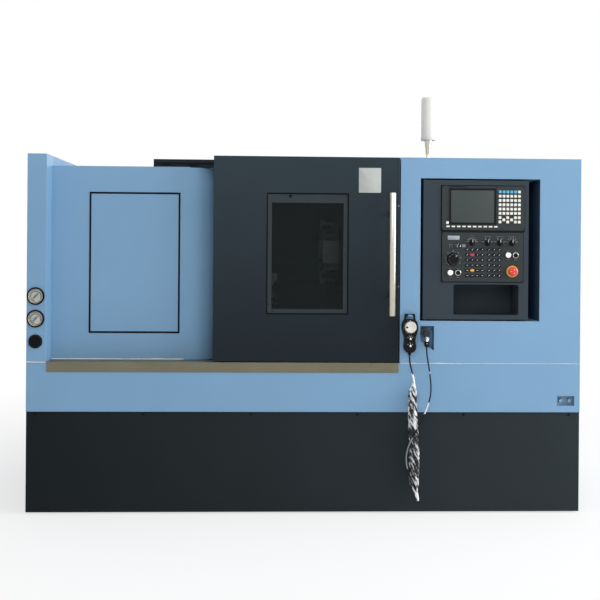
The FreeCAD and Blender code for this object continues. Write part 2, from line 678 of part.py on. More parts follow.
# ---------------------------------------------------------------- base and bed
def machine_bed():
    base = prism(
        [(-BASE_HALF_LENGTH, BASE_FRONT_Y, BASE_BOTTOM), (-BASE_HALF_LENGTH, BASE_BACK_Y, BASE_BOTTOM),
         (-BASE_HALF_LENGTH, BASE_BACK_Y, BASE_TOP), (-BASE_HALF_LENGTH, BED_FRONT_Y, BASE_TOP),
         (-BASE_HALF_LENGTH, BASE_FRONT_Y, BASE_TOP - BASE_CHAMFER)],
        V(2 * BASE_HALF_LENGTH, 0, 0))
    front_top = BED_Z + (BED_FRONT_Y - BED_Y) * math.tan(SLOPE)
    slope = prism(
        [(BED_LEFT_X, BED_FRONT_Y, BASE_TOP), (BED_LEFT_X, BED_FRONT_Y, front_top),
         (BED_LEFT_X, BED_TOP_Y, BED_TOP), (BED_LEFT_X, BED_BACK_Y, BED_TOP),
         (BED_LEFT_X, BED_BACK_Y, BASE_TOP)],
        V(BED_RIGHT_X - BED_LEFT_X, 0, 0))
    ways = [slant_block((WAYS_LEFT_X, BED_RIGHT_X), u, (0, WAY_HEIGHT)) for u in WAYS]
    return fuse([base, slope] + ways)


def levelling_feet():
    feet = []
    for x in FOOT_X:
        for y in FOOT_Y:
            pad = many_sided((x, y, 0), UP, FOOT_PAD_RADIUS, FOOT_PAD_HEIGHT, FOOT_SIDES, FOOT_TOP_RADIUS)
            stud = many_sided((x, y, FOOT_PAD_HEIGHT), UP, FOOT_STUD_RADIUS, BASE_BOTTOM - FOOT_PAD_HEIGHT,
                              FOOT_SIDES)
            nut_z = BASE_BOTTOM - FOOT_NUT_HEIGHT
            nut = many_sided((x, y, nut_z), UP, FOOT_NUT_RADIUS, FOOT_NUT_HEIGHT, FOOT_SIDES)
            feet.append(fuse([pad, stud, nut]))
    return Part.makeCompound(feet)


def front_skirt():
    y = FRONT_Y + SKIRT_SET_BACK
    z = (FLOOR_GAP, SKIRT_TOP)
    plate = block((LEFT_X, RIGHT_X), (y, y + SHEET), z)
    top = block((LEFT_X, RIGHT_X), (y, y + SKIRT_FLANGE), (SKIRT_TOP - SHEET, SKIRT_TOP))
    ends = [block((x, x + SHEET), (y, y + SKIRT_FLANGE), z) for x in (LEFT_X, RIGHT_X - SHEET)]
    return fuse([plate, top] + ends)


def rear_skirts():
    """Back sheet and two end sheets; the end sheets have tabs that reach the base."""
    z = (FLOOR_GAP, SKIRT_TOP)
    front = FRONT_Y + SKIRT_SET_BACK + SKIRT_FLANGE
    reach = RIGHT_X - SHEET - BASE_HALF_LENGTH
    tab_z = (TAB_HEIGHT, TAB_HEIGHT + SHEET)
    sheets = [block((LEFT_X, RIGHT_X), (BACK_Y - SHEET, BACK_Y), z)]
    for x, inner in ((LEFT_X, LEFT_X + SHEET), (RIGHT_X - SHEET, BASE_HALF_LENGTH)):
        end = block((x, x + SHEET), (front, BACK_Y - SHEET), z)
        tabs = [block((inner, inner + reach), (y, y + TAB_WIDTH), tab_z) for y in TAB_Y]
        sheets.append(fuse([end] + tabs))
    return Part.makeCompound(sheets)


def lower_guard():
    z = (SKIRT_TOP, BAND_TOP)
    front = block((LEFT_X, RIGHT_X), (FRONT_Y, FRONT_Y + SHEET), z)
    front = front.cut(block(PORT_X, (FRONT_Y - 1, FRONT_Y + SHEET + 1), PORT_Z))
    top = block((LEFT_X, RIGHT_X), (FRONT_Y, FRONT_Y + BAND_TOP_FLANGE), (BAND_TOP - SHEET, BAND_TOP))
    bottom = block((LEFT_X, RIGHT_X), (FRONT_Y, FRONT_Y + SKIRT_FLANGE), (SKIRT_TOP, SKIRT_TOP + SHEET))
    sides = [block((x, x + SHEET), (FRONT_Y, BACK_Y), z) for x in (LEFT_X, RIGHT_X - SHEET)]
    back = block((LEFT_X, RIGHT_X), (BACK_Y - SHEET, BACK_Y), z)
    pan_x = grown(PORT_X, SHEET)
    pan_z = grown(PORT_Z, SHEET)
    pan = frame_ring(pan_x, pan_z, SHEET, (FRONT_Y + SHEET, FRONT_Y + PORT_DEPTH))
    floor = block(pan_x, (FRONT_Y + PORT_DEPTH, FRONT_Y + PORT_DEPTH + SHEET), pan_z)
    middle_z = (PORT_Z[0] + PORT_Z[1]) / 2
    middle_x = (PORT_X[0] + PORT_X[1]) / 2
    ports = []
    for x in (middle_x - PORT_SPREAD, middle_x + PORT_SPREAD):
        start = (x, FRONT_Y + PORT_DEPTH, middle_z)
        ports.append(many_sided(start, -FRONT_BACK, PORT_RADIUS, PORT_LENGTH, SMALL_SIDES))
    return fuse([front, top, bottom, back, pan, floor] + sides + ports)


def door_sill():
    left = LEFT_X + SILL_LEFT_MARGIN
    apron = block((left, DOOR_X[1]), (FRONT_Y - SILL_SHEET, FRONT_Y), (SILL_TOP - SILL_APRON, SILL_TOP))
    ledge = block((left, DOOR_X[1]), (FRONT_Y - SILL_SHEET, HEAD_Y), (BAND_TOP, SILL_TOP))
    slot_left = DOOR_X[0] - DOOR_TRAVEL + FIN_INSET - CLEAR - SLOT_END_PLAY
    slot = block((slot_left, DOOR_X[1] - FIN_INSET + SLOT_END_PLAY), grown(FIN_Y, CLEAR), (BAND_TOP, SILL_TOP))
    return fuse([apron, ledge]).cut(slot)


# ---------------------------------------------------------------- left column
def end_cover():
    z = (BAND_TOP, HEIGHT)
    deep = FRONT_Y + COLUMN_DEPTH
    front = block((LEFT_X, COLUMN_X), (FRONT_Y, FRONT_Y + SHEET), z)
    holes = [many_sided((GAUGE_X, FRONT_Y - 1, gz), FRONT_BACK, GAUGE_CASE_RADIUS + 1, SHEET + 2, SMALL_SIDES)
             for gz in GAUGE_Z]
    front = cut(front, holes)
    outer = block((LEFT_X, LEFT_X + SHEET), (FRONT_Y, deep), z)
    rear = block((LEFT_X, LEFT_X + SHEET), (deep, BACK_Y), (BAND_TOP, HEAD_COVER_TOP))
    inner = block((COLUMN_X - SHEET, COLUMN_X), (FRONT_Y, deep), z)
    top = block((LEFT_X, COLUMN_X), (FRONT_Y, deep), (HEIGHT - SHEET, HEIGHT))
    back = block((LEFT_X, COLUMN_X), (deep - SHEET, deep), (HEAD_COVER_TOP, HEIGHT))
    plug_rim = many_sided((GAUGE_X, FRONT_Y, PLUG_Z), -FRONT_BACK, PLUG_RADIUS, PLUG_RIM, ROUND_SIDES)
    rim_front = (GAUGE_X, FRONT_Y - PLUG_RIM, PLUG_Z)
    plug_face = many_sided(rim_front, -FRONT_BACK, PLUG_RADIUS, PLUG_RIM, ROUND_SIDES, PLUG_RADIUS - PLUG_RIM)
    return fuse([front, outer, rear, inner, top, back, plug_rim, plug_face])


def gauge_cases():
    """Two pressure gauges with front flanges; each face is sunk inside its bezel."""
    cases = []
    for gz in GAUGE_Z:
        place = (GAUGE_X, FRONT_Y - GAUGE_FLANGE, gz)
        flange = many_sided(place, FRONT_BACK, GAUGE_RADIUS, GAUGE_FLANGE, ROUND_SIDES)
        flange = flange.cut(many_sided(place, FRONT_BACK, GAUGE_FACE_RADIUS, GAUGE_FACE_DEPTH, ROUND_SIDES))
        body = many_sided((GAUGE_X, FRONT_Y, gz), FRONT_BACK, GAUGE_CASE_RADIUS, GAUGE_CASE_DEPTH, SMALL_SIDES)
        bore = small_bore(place, FRONT_BACK, NEEDLE_PIN_RADIUS, NEEDLE_BORE)
        cases.append(fuse([flange, body]).cut(bore))
    return Part.makeCompound(cases)


def gauge_needle(gz):
    """Points up and to the right, as the gauge stands at rest."""
    y = FRONT_Y - GAUGE_FLANGE + NEEDLE_THICKNESS
    bar = block((-NEEDLE_WIDTH / 2, NEEDLE_WIDTH / 2), (y, y + NEEDLE_THICKNESS), NEEDLE_LENGTH)
    hub = many_sided((0, y, 0), FRONT_BACK, *NEEDLE_HUB, SMALL_SIDES)
    pin = many_sided((0, y, 0), FRONT_BACK, NEEDLE_PIN_RADIUS, NEEDLE_PIN, SMALL_SIDES)
    needle = fuse([bar, hub, pin])
    needle.rotate(V(0, 0, 0), FRONT_BACK, NEEDLE_ANGLE)
    needle.translate(V(GAUGE_X, 0, gz))
    return needle


# ---------------------------------------------------------------- headstock cover and its door
def access_axis():
    return ACCESS_X[0] + ACCESS_PIN_INSET, HEAD_Y + ACCESS_PIN_DEPTH


def headstock_cover():
    z = (BAND_TOP, HEAD_COVER_TOP)
    height = z[1] - z[0]
    flat = block((COLUMN_X, BEND_START_X), (HEAD_Y, HEAD_Y + SHEET), z)
    height -= SHEET
    centre = V(BEND_START_X, HEAD_Y + BEND_RADIUS, z[0])
    bend = Part.makeCylinder(BEND_RADIUS, height, centre, UP, 90)
    bend = bend.cut(Part.makeCylinder(BEND_RADIUS - SHEET, height, centre, UP, 90))
    bend.rotate(centre, UP, -90)
    back_y = HEAD_Y + BEND_RADIUS
    end = block((BEND_END_X - SHEET, BEND_END_X), (back_y, back_y + BEND_RETURN), (z[0], z[0] + height))
    top = block((COLUMN_X, BEND_START_X), (HEAD_Y, HEAD_Y + LOWER_ROOF_FLANGE),
                (HEAD_COVER_TOP - SHEET, HEAD_COVER_TOP))
    opening = block(grown(ACCESS_X, ACCESS_GAP), (HEAD_Y - 1, HEAD_Y + SHEET + 1), grown(ACCESS_Z, ACCESS_GAP))
    x, y = access_axis()
    lugs = []
    for lug_z in ((ACCESS_Z[0] - ACCESS_GAP - ACCESS_LUG, ACCESS_Z[0] - ACCESS_GAP),
                  (ACCESS_Z[1] + ACCESS_GAP, ACCESS_Z[1] + ACCESS_GAP + ACCESS_LUG)):
        lugs.append(block((x - ACCESS_LUG_HALF, x + ACCESS_LUG_HALF), (HEAD_Y + SHEET, y + ACCESS_LUG_BACK),
                          lug_z))
    bore = small_bore((x, y, z[0]), UP, ACCESS_PIN_RADIUS, height)
    return cut(fuse([flat, bend, end, top]), [opening]).multiFuse([cut(lug, [bore]) for lug in lugs])


def access_door():
    wall = SHEET - 1
    face = block(ACCESS_X, (HEAD_Y, HEAD_Y + SHEET), ACCESS_Z)
    rim = frame_ring(ACCESS_X, ACCESS_Z, wall, (HEAD_Y, HEAD_Y + ACCESS_DEPTH))
    x, y = access_axis()
    reach = ACCESS_GAP + ACCESS_LUG - 1
    pins = [many_sided((x, y, ACCESS_Z[1] - wall), UP, ACCESS_PIN_RADIUS, reach + wall, SMALL_SIDES),
            many_sided((x, y, ACCESS_Z[0] + wall), -UP, ACCESS_PIN_RADIUS, reach + wall, SMALL_SIDES)]
    return fuse([face, rim] + pins)


# ---------------------------------------------------------------- sliding door and its rail
def top_rail():
    x = (BEAM_LEFT_X, COVER_X)
    y = (BEAM_Y, BEAM_Y + BEAM_DEPTH)
    z = (HEAD_COVER_TOP, BEAM_TOP)
    beam = block(x, y, z).cut(block(x, grown(y, -BEAM_WALL), grown(z, -BEAM_WALL)))
    slot_z = (HEAD_COVER_TOP + BEAM_SLOT_RISE[0], HEAD_COVER_TOP + BEAM_SLOT_RISE[1])
    slots = [block(s, (BEAM_Y - 1, BEAM_Y + BEAM_WALL + 1), slot_z) for s in BEAM_SLOT_X]
    beam = cut(beam, slots)
    rail = block(grown(x, -RAIL_END_GAP), (BEAM_Y - RAIL_DEPTH, BEAM_Y), (RAIL_Z, RAIL_Z + RAIL_WIDTH))
    return fuse([beam, rail])


def hanger(x):
    """One bracket and the bearing block that hooks round the rail."""
    span = (x, x + HANGER_LENGTH)
    back = FRONT_Y + DOOR_DEPTH
    high = RAIL_Z + RAIL_WIDTH + BEARING_RISE
    foot = block(span, (back, back + HANGER_THICKNESS), (RAIL_Z - HANGER_DROP, high))
    bearing = block(span, (back + HANGER_THICKNESS, BEAM_Y - SHEET), (RAIL_Z - BEARING_DROP, high))
    groove = block(span, (BEAM_Y - RAIL_DEPTH - CLEAR, BEAM_Y),
                   (RAIL_Z - CLEAR, RAIL_Z + RAIL_WIDTH + CLEAR))
    return [foot, bearing.cut(groove)]


def door_shell():
    y = (FRONT_Y, FRONT_Y + DOOR_DEPTH)
    z = (DOOR_BOTTOM, DOOR_TOP)
    back = y[1] - SHEET
    face = block(DOOR_X, (y[0], y[0] + SHEET), z)
    face = face.cut(block(WINDOW_X, (y[0] - 1, y[0] + SHEET + 1), WINDOW_Z))
    rim = frame_ring(DOOR_X, z, SHEET, y)
    inward = frame_ring(DOOR_X, z, DOOR_LIP, (back, y[1]))
    seat_x = grown(WINDOW_X, GLASS_EDGE + SHEET)
    seat_z = grown(WINDOW_Z, GLASS_EDGE + SHEET)
    seat = frame_ring(seat_x, seat_z, SHEET, (y[0] + SHEET, y[0] + SEAT_DEPTH))
    ribs = [block((x, x + RIB_WIDTH), (y[0] + SHEET, y[0] + RIB_DEPTH), (z[0] + SHEET, z[1] - SHEET))
            for x in (DOOR_X[0] + RIB_MARGIN[0], DOOR_X[1] - RIB_MARGIN[1] - RIB_WIDTH)]
    fins = [block((x, x + FIN_LENGTH), FIN_Y, (BAND_TOP + FIN_LIFT, DOOR_BOTTOM))
            for x in (DOOR_X[0] + FIN_INSET, DOOR_X[1] - FIN_INSET - FIN_LENGTH)]
    hangers = hanger(HANGER_X[0]) + hanger(HANGER_X[1])
    return fuse([face, rim, inward, seat] + ribs + fins + hangers)


def door_gasket():
    y = (FRONT_Y + SHEET, FRONT_Y + SHEET + GASKET_THICKNESS)
    return frame_ring(grown(WINDOW_X, GLASS_EDGE), grown(WINDOW_Z, GLASS_EDGE), GLASS_EDGE + GASKET_LIP, y)


def door_glass():
    front = FRONT_Y + SHEET + GASKET_THICKNESS
    return block(grown(WINDOW_X, GLASS_EDGE), (front, front + GLASS_THICKNESS), grown(WINDOW_Z, GLASS_EDGE))


def door_handle():
    y = FRONT_Y - HANDLE_REACH
    inner = HANDLE_RADIUS - HANDLE_CHAMFER
    bar = skin([ring_corners(V(HANDLE_X, y, z), LEFT_RIGHT, FRONT_BACK, radius, ROUND_SIDES) for z, radius in
                ((HANDLE_Z[0], inner), (HANDLE_Z[0] + HANDLE_CHAMFER, HANDLE_RADIUS),
                 (HANDLE_Z[1] - HANDLE_CHAMFER, HANDLE_RADIUS), (HANDLE_Z[1], inner))])
    posts = [many_sided((HANDLE_X, FRONT_Y, z), -FRONT_BACK, HANDLE_POST_RADIUS, HANDLE_REACH, SMALL_SIDES)
             for z in (HANDLE_Z[0] + HANDLE_POST_INSET, HANDLE_Z[1] - HANDLE_POST_INSET)]
    return fuse([bar] + posts)


# ---------------------------------------------------------------- right cover and rear sheets
def box_axis():
    return BOX_X[0] + BOX_PIN_INSET, BOX_Y + BOX_PIN_INSET


def pocket_outline(wall, y):
    return [(POCKET_X[0] - wall, y, POCKET_LEFT_Z - wall), (POCKET_X[1] + wall, y, POCKET_RIGHT_Z - wall),
            (POCKET_X[1] + wall, y, POCKET_TOP + wall), (POCKET_X[0] - wall, y, POCKET_TOP + wall)]


def right_cover():
    z = (BAND_TOP, HEIGHT)
    front = block((COVER_X, RIGHT_X), (FRONT_Y, FRONT_Y + SHEET), z)
    front = front.cut(block(RECESS_X, (FRONT_Y - 1, FRONT_Y + SHEET + 1), RECESS_Z))
    front = front.cut(prism(pocket_outline(0, FRONT_Y - 1), V(0, SHEET + 2, 0)))
    jamb = block((COVER_X, COVER_X + SHEET), (FRONT_Y, FRONT_WALL_Y), z)
    step = block((COVER_X, COVER_X + SHEET), (FRONT_WALL_Y, BACK_Y - SHEET), (HEAD_COVER_TOP, HEIGHT))
    end = block((RIGHT_X - SHEET, RIGHT_X), (FRONT_Y, BACK_Y), z)
    roof = block((COVER_X, RIGHT_X), (FRONT_Y, BACK_Y), (HEIGHT - SHEET, HEIGHT))
    pan_x = grown(RECESS_X, SHEET)
    pan_z = grown(RECESS_Z, SHEET)
    back = FRONT_Y + RECESS_DEPTH
    pan = frame_ring(pan_x, pan_z, SHEET, (FRONT_Y, back))
    floor = block(pan_x, (back, back + SHEET), pan_z)
    x, y = box_axis()
    bores = small_bore((x, y, pan_z[0] - 1), UP, BOX_PIN_RADIUS, pan_z[1] - pan_z[0] + 2)
    hook_x = (PENDANT_X - HOOK_WIDTH / 2, PENDANT_X + HOOK_WIDTH / 2)
    hook_y = FRONT_Y - HOOK_REACH
    hook_z = LOOP_TOP - LOOP_BAR
    hook = block(hook_x, (hook_y, FRONT_Y), (hook_z - HOOK_THICKNESS, hook_z))
    lip = block(hook_x, (hook_y, hook_y + HOOK_THICKNESS), (hook_z - HOOK_THICKNESS, hook_z + HOOK_LIP))
    shell = fuse([front, jamb, step, end, roof, pan, floor]).cut(bores)
    return shell.multiFuse([hook, lip]).removeSplitter()


def rear_guard():
    """Back wall and the lower roof over the headstock and the chamber, folded from one sheet."""
    roof_z = (HEAD_COVER_TOP - SHEET, HEAD_COVER_TOP)
    roof_left = block((LEFT_X + SHEET, COVER_X), (HEAD_Y + LOWER_ROOF_FLANGE, BACK_Y), roof_z)
    column = block((LEFT_X + SHEET, COLUMN_X), (HEAD_Y, FRONT_Y + COLUMN_DEPTH), roof_z)
    back_left = block((LEFT_X + SHEET, COVER_X), (BACK_Y - SHEET, BACK_Y), (BAND_TOP, roof_z[1]))
    back_right = block((COVER_X, RIGHT_X - SHEET), (BACK_Y - SHEET, BACK_Y), (BAND_TOP, HEIGHT - SHEET))
    return fuse([roof_left.cut(column), back_left, back_right])


def electrical_cabinet():
    y = (BACK_Y, BACK_Y + CABINET_DEPTH)
    shell = block(CABINET_X, y, CABINET_Z)
    inside = block(grown(CABINET_X, -SHEET), (y[0] + SHEET, y[1] + 1), grown(CABINET_Z, -SHEET))
    plate_y = y[0] + SHEET + DEVICE_PLATE
    plate = block(grown(CABINET_X, -DEVICE_PLATE_INSET), (y[0] + SHEET, plate_y),
                  grown(CABINET_Z, -DEVICE_PLATE_INSET))
    first_x = CABINET_X[0] + DEVICE_INSET
    top = CABINET_Z[1] - DEVICE_DROP
    blocks = [block((first_x + DEVICE_PITCH * i, first_x + DEVICE_PITCH * i + DEVICE_SIZE[0]),
                    (plate_y, plate_y + DEVICE_SIZE[1]), (top - DEVICE_SIZE[2], top))
              for i in range(DEVICE_COUNT)]
    row = block(grown(CABINET_X, -DEVICE_INSET), (plate_y, plate_y + DEVICE_ROW_DEPTH),
                (CABINET_Z[0] + DEVICE_ROW_RISE[0], CABINET_Z[0] + DEVICE_ROW_RISE[1]))
    x, pin_y = cabinet_axis()
    lug_z = (CABINET_Z[0] - CABINET_LUG, CABINET_Z[1])
    lugs = [block((CABINET_X[1] - CABINET_LUG_INSET, x + CABINET_LUG_HALF),
                  (pin_y - CABINET_LUG_BACK, pin_y + CABINET_LUG_HALF), (a, a + CABINET_LUG)) for a in lug_z]
    bore = small_bore((x, pin_y, lug_z[0] - 1), UP, CABINET_PIN_RADIUS, lug_z[1] - lug_z[0] + CABINET_LUG + 2)
    cabinet = fuse([shell.cut(inside), plate, row] + blocks)
    return Part.makeCompound([cabinet] + [lug.cut(bore) for lug in lugs])


def cabinet_axis():
    return CABINET_X[1] + CABINET_PIN_OUT, BACK_Y + CABINET_DEPTH + CLEAR + CABINET_DOOR_DEPTH / 2


def cabinet_door():
    front = BACK_Y + CABINET_DEPTH + CLEAR
    y = (front, front + CABINET_DOOR_DEPTH)
    z = grown(CABINET_Z, -CLEAR)
    face = block(CABINET_X, (y[1] - SHEET, y[1]), z)
    rim = frame_ring(CABINET_X, z, SHEET, y)
    x, pin_y = cabinet_axis()
    pins = [many_sided((x, pin_y, z[0]), -UP, CABINET_PIN_RADIUS, CABINET_PIN_LENGTH, SMALL_SIDES),
            many_sided((x, pin_y, z[1]), UP, CABINET_PIN_RADIUS, CABINET_PIN_LENGTH, SMALL_SIDES)]
    knuckles = []
    for start in (z[0], z[1] - KNUCKLE_LENGTH):
        knuckles.append(many_sided((x, pin_y, start), UP, CABINET_PIN_RADIUS + KNUCKLE_WALL, KNUCKLE_LENGTH,
                                   SMALL_SIDES))
        knuckles.append(block((CABINET_X[1] - SHEET, x), (pin_y - SHEET, pin_y + SHEET),
                              (start, start + KNUCKLE_LENGTH)))
    latch_x = CABINET_X[0] + LATCH_INSET
    middle = (z[0] + z[1]) / 2
    latch = block((latch_x, latch_x + LATCH_SIZE[0]), (y[1], y[1] + LATCH_SIZE[1]),
                  (middle - LATCH_SIZE[2] / 2, middle + LATCH_SIZE[2] / 2))
    vent_x = CABINET_X[0] + VENT_PLACE[0]
    vent_z = CABINET_Z[0] + VENT_PLACE[1]
    vents = [block((vent_x, vent_x + VENT_SIZE[0]), (y[1] - SHEET - 1, y[1] + 1),
                   (vent_z + VENT_PITCH * i, vent_z + VENT_PITCH * i + VENT_SIZE[1]))
             for i in range(VENT_COUNT)]
    return fuse([cut(face, vents), rim, latch] + pins + knuckles)


# ---------------------------------------------------------------- operator box
def operator_box():
    y = (BOX_Y, BOX_Y + BOX_DEPTH)
    shell = block(BOX_X, y, BOX_Z).cut(block(grown(BOX_X, -SHEET), grown(y, -SHEET), grown(BOX_Z, -SHEET)))
    wall = SHEET - 1
    shelf = cornered_block(SHELF_X, (y[0] - 1, y[0] + SHELF_DEPTH), SHELF_Z, SHELF_CORNER)
    tray_y = (y[0], y[0] + SHELF_DEPTH + wall)
    tray = cornered_block(grown(SHELF_X, wall), tray_y, grown(SHELF_Z, wall), SHELF_CORNER + wall)
    ex, ez = ESTOP_AT
    stem_room = many_sided((ex, y[0] - 1, ez), FRONT_BACK, ESTOP_STEM_RADIUS + 3, SHEET + 2, SMALL_SIDES)
    x, pin_y = box_axis()
    pins = [many_sided((x, pin_y, BOX_Z[0]), -UP, BOX_PIN_RADIUS, BOX_Z_GAP + SHEET, SMALL_SIDES),
            many_sided((x, pin_y, BOX_Z[1]), UP, BOX_PIN_RADIUS, BOX_Z_GAP + SHEET, SMALL_SIDES)]
    return fuse([fuse([shell, tray]).cut(shelf)] + pins).cut(stem_room)


def cornered_block(x, y, z, corner):
    """A box whose four edges along Y are cut off."""
    solid = block(x, y, z)
    edges = [e for e in solid.Edges if abs(e.tangentAt(e.FirstParameter).y) > 0.9]
    return solid.makeChamfer(corner, edges)


def display_unit():
    y = (BOX_Y - DISPLAY_THICKNESS, BOX_Y)
    plate = block(DISPLAY_X, y, DISPLAY_Z)
    rim = [e for e in plate.Edges if e.CenterOfMass.y < y[0] + 0.1]
    plate = plate.makeChamfer(DISPLAY_CHAMFER, rim)
    return plate.cut(block(SCREEN_X, (y[0] - 1, y[0] + SCREEN_SINK), SCREEN_Z))


def display_keys():
    """Six columns of square keys beside the screen, two of them one key short, and the soft keys."""
    y = BOX_Y - DISPLAY_THICKNESS
    keys = []
    half = KEY_SIZE / 2
    for column in range(KEY_COLUMNS):
        rows = list(range(KEY_ROWS))
        if column in SHORT_COLUMNS:
            rows[-2:] = [KEY_ROWS - 1.5]
        for row in rows:
            x = KEY_FIRST_X + column * KEY_PITCH_X
            z = KEY_FIRST_Z - row * KEY_PITCH_Z
            keys.append(block((x - half, x + half), (y - KEY_HEIGHT, y), (z - half, z + half)))
    wide, tall = SOFT_KEY_SIZE
    for i in range(SOFT_KEY_COUNT):
        x = SOFT_KEY_FIRST_X + i * SOFT_KEY_PITCH
        keys.append(block((x - wide / 2, x + wide / 2), (y - KEY_HEIGHT, y),
                          (SOFT_KEY_Z - tall / 2, SOFT_KEY_Z + tall / 2)))
    x = SOFT_KEY_FIRST_X + CORNER_KEY_OFFSET[0]
    z = SOFT_KEY_Z + CORNER_KEY_OFFSET[1]
    keys.append(block((x - half, x + half), (y - KEY_HEIGHT, y), (z - half, z + half)))
    return Part.makeCompound(keys)


def machine_panel():
    plate = block(PANEL_X, (PANEL_Y, BOX_Y), PANEL_Z)
    ex, ez = ESTOP_AT
    ring = many_sided((ex, PANEL_Y, ez), -FRONT_BACK, ESTOP_RING_RADIUS, ESTOP_RING_HEIGHT, ROUND_SIDES)
    stem_bore = small_bore((ex, PANEL_Y - ESTOP_RING_HEIGHT - 1, ez), FRONT_BACK, ESTOP_STEM_RADIUS,
                           PANEL_THICKNESS + ESTOP_RING_HEIGHT + 2)
    shafts = [small_bore((x, PANEL_Y - 1, z), FRONT_BACK, KNOB_SHAFT_RADIUS, PANEL_THICKNESS)
              for x, z in knob_places()]
    return cut(fuse([plate, ring]), [stem_bore] + shafts)


def knob_places():
    return [OVERRIDE_AT, KEY_SWITCH_AT] + [(x, SELECTOR_Z) for x in SELECTOR_X]


def machine_keys():
    """Rows of oval keys and the four round push buttons."""
    keys = []
    a, b = OVAL_KEY_SIZE[0] / 2, OVAL_KEY_SIZE[1] / 2
    for row in range(OVAL_KEY_ROWS):
        for column in OVAL_KEY_COLUMNS:
            x = PANEL_X[0] + column
            z = OVAL_KEY_Z - row * OVAL_KEY_PITCH
            corners = [(x + a * math.cos(math.radians(60 * k)), PANEL_Y,
                        z + b * math.sin(math.radians(60 * k))) for k in range(6)]
            keys.append(prism(corners, V(0, -KEY_HEIGHT, 0)))
    for x, z in PUSH_BUTTONS:
        keys.append(many_sided((PANEL_X[0] + x, PANEL_Y, PANEL_Z[0] + z), -FRONT_BACK, PUSH_RADIUS, PUSH_HEIGHT,
                               SMALL_SIDES))
    return Part.makeCompound(keys)


def estop_button():
    """Mushroom head on a stem; the head stands off its ring by more than it travels."""
    x, z = ESTOP_AT
    start = PANEL_Y - ESTOP_RING_HEIGHT - ESTOP_TRAVEL - 1
    stem = many_sided((x, PANEL_Y + PANEL_THICKNESS + 1, z), -FRONT_BACK, ESTOP_STEM_RADIUS,
                      PANEL_Y + PANEL_THICKNESS + 1 - start, SMALL_SIDES)
    head = [stem]
    for rise, less, less_after in ESTOP_STEPS:
        head.append(many_sided((x, start, z), -FRONT_BACK, ESTOP_RADIUS - less, rise, ROUND_SIDES,
                               ESTOP_RADIUS - less_after))
        start -= rise
    return fuse(head)


def knob_shaft(x, z):
    return many_sided((x, PANEL_Y - CLEAR, z), FRONT_BACK, KNOB_SHAFT_RADIUS, PANEL_THICKNESS - 1, SMALL_SIDES)


def override_knob():
    x, z = OVERRIDE_AT
    skirt = many_sided((x, PANEL_Y - CLEAR, z), -FRONT_BACK, OVERRIDE_RADIUS + KNOB_FLARE, OVERRIDE_SKIRT,
                       ROUND_SIDES)
    front = (x, PANEL_Y - CLEAR - OVERRIDE_SKIRT, z)
    grip = many_sided(front, -FRONT_BACK, OVERRIDE_RADIUS, OVERRIDE_HEIGHT, SMALL_SIDES,
                      OVERRIDE_RADIUS - KNOB_FLARE)
    return fuse([skirt, grip, knob_shaft(x, z)])


def selector(x, z, radius):
    """Round foot with a bar grip across it."""
    foot = many_sided((x, PANEL_Y - CLEAR, z), -FRONT_BACK, radius, SELECTOR_FOOT, ROUND_SIDES)
    bar = block((x - SELECTOR_BAR_HALF, x + SELECTOR_BAR_HALF),
                (PANEL_Y - CLEAR - SELECTOR_HEIGHT, PANEL_Y - CLEAR - SELECTOR_FOOT),
                (z - radius, z + radius + KNOB_FLARE))
    return fuse([foot, bar, knob_shaft(x, z)])


# ---------------------------------------------------------------- pendant, pocket and lamp
def pendant_body():
    """Round head for the dial, a waist, a foot for two knobs, and a hanging loop on top."""
    y = FRONT_Y - PENDANT_DEPTH
    right = [(HEAD_TOP_HALF, PENDANT_TOP), (HEAD_HALF, DIAL_Z), (HEAD_TOP_HALF - 1, 2 * DIAL_Z - PENDANT_TOP - 4)]
    rest = [(WAIST_HALF, PENDANT_TOP - WAIST_DROP), (FOOT_HALF, PENDANT_TOP - FOOT_DROP),
            (FOOT_HALF - 8, PENDANT_BOTTOM + 8), (8, PENDANT_BOTTOM)]
    at = [V(PENDANT_X + a, y, b) for a, b in right]
    lower = [V(PENDANT_X + a, y, b) for a, b in rest]
    mirror = [V(PENDANT_X - a, y, b) for a, b in right]
    mirror_lower = [V(PENDANT_X - a, y, b) for a, b in rest]
    edges = [Part.Arc(at[0], at[1], at[2]).toShape()]
    path = [at[2]] + lower + mirror_lower[::-1] + [mirror[2]]
    edges += [Part.LineSegment(a, b).toShape() for a, b in zip(path, path[1:])]
    edges.append(Part.Arc(mirror[2], mirror[1], mirror[0]).toShape())
    edges.append(Part.LineSegment(mirror[0], at[0]).toShape())
    body = Part.Face(Part.Wire(edges)).extrude(V(0, PENDANT_DEPTH, 0))
    middle = FRONT_Y - PENDANT_DEPTH / 2
    loop_y = (middle - LOOP_DEPTH / 2, middle + LOOP_DEPTH / 2)
    low, high = LOOP_HALF
    outline = []
    for x, z in ((-low, PENDANT_TOP), (low, PENDANT_TOP), (high, LOOP_TOP), (-high, LOOP_TOP)):
        outline.append((PENDANT_X + x, loop_y[0], z))
    loop = prism(outline, V(0, LOOP_DEPTH, 0))
    gap = block((PENDANT_X - high + LOOP_BAR, PENDANT_X + high - LOOP_BAR), loop_y,
                (PENDANT_TOP, LOOP_TOP - LOOP_BAR))
    gland = many_sided((PENDANT_X, PENDANT_LEAD_Y, PENDANT_BOTTOM), -UP, GLAND_RADIUS, GLAND_LENGTH, SMALL_SIDES,
                       LEAD_RADIUS + 1.5)
    bores = [small_bore((PENDANT_X, y, DIAL_Z), FRONT_BACK, DIAL_SHAFT_RADIUS, 9)]
    bores += [small_bore((PENDANT_X, y, z), FRONT_BACK, PENDANT_SHAFT_RADIUS, 7) for z in PENDANT_KNOB_Z]
    return cut(fuse([body, loop.cut(gap), gland]), bores)


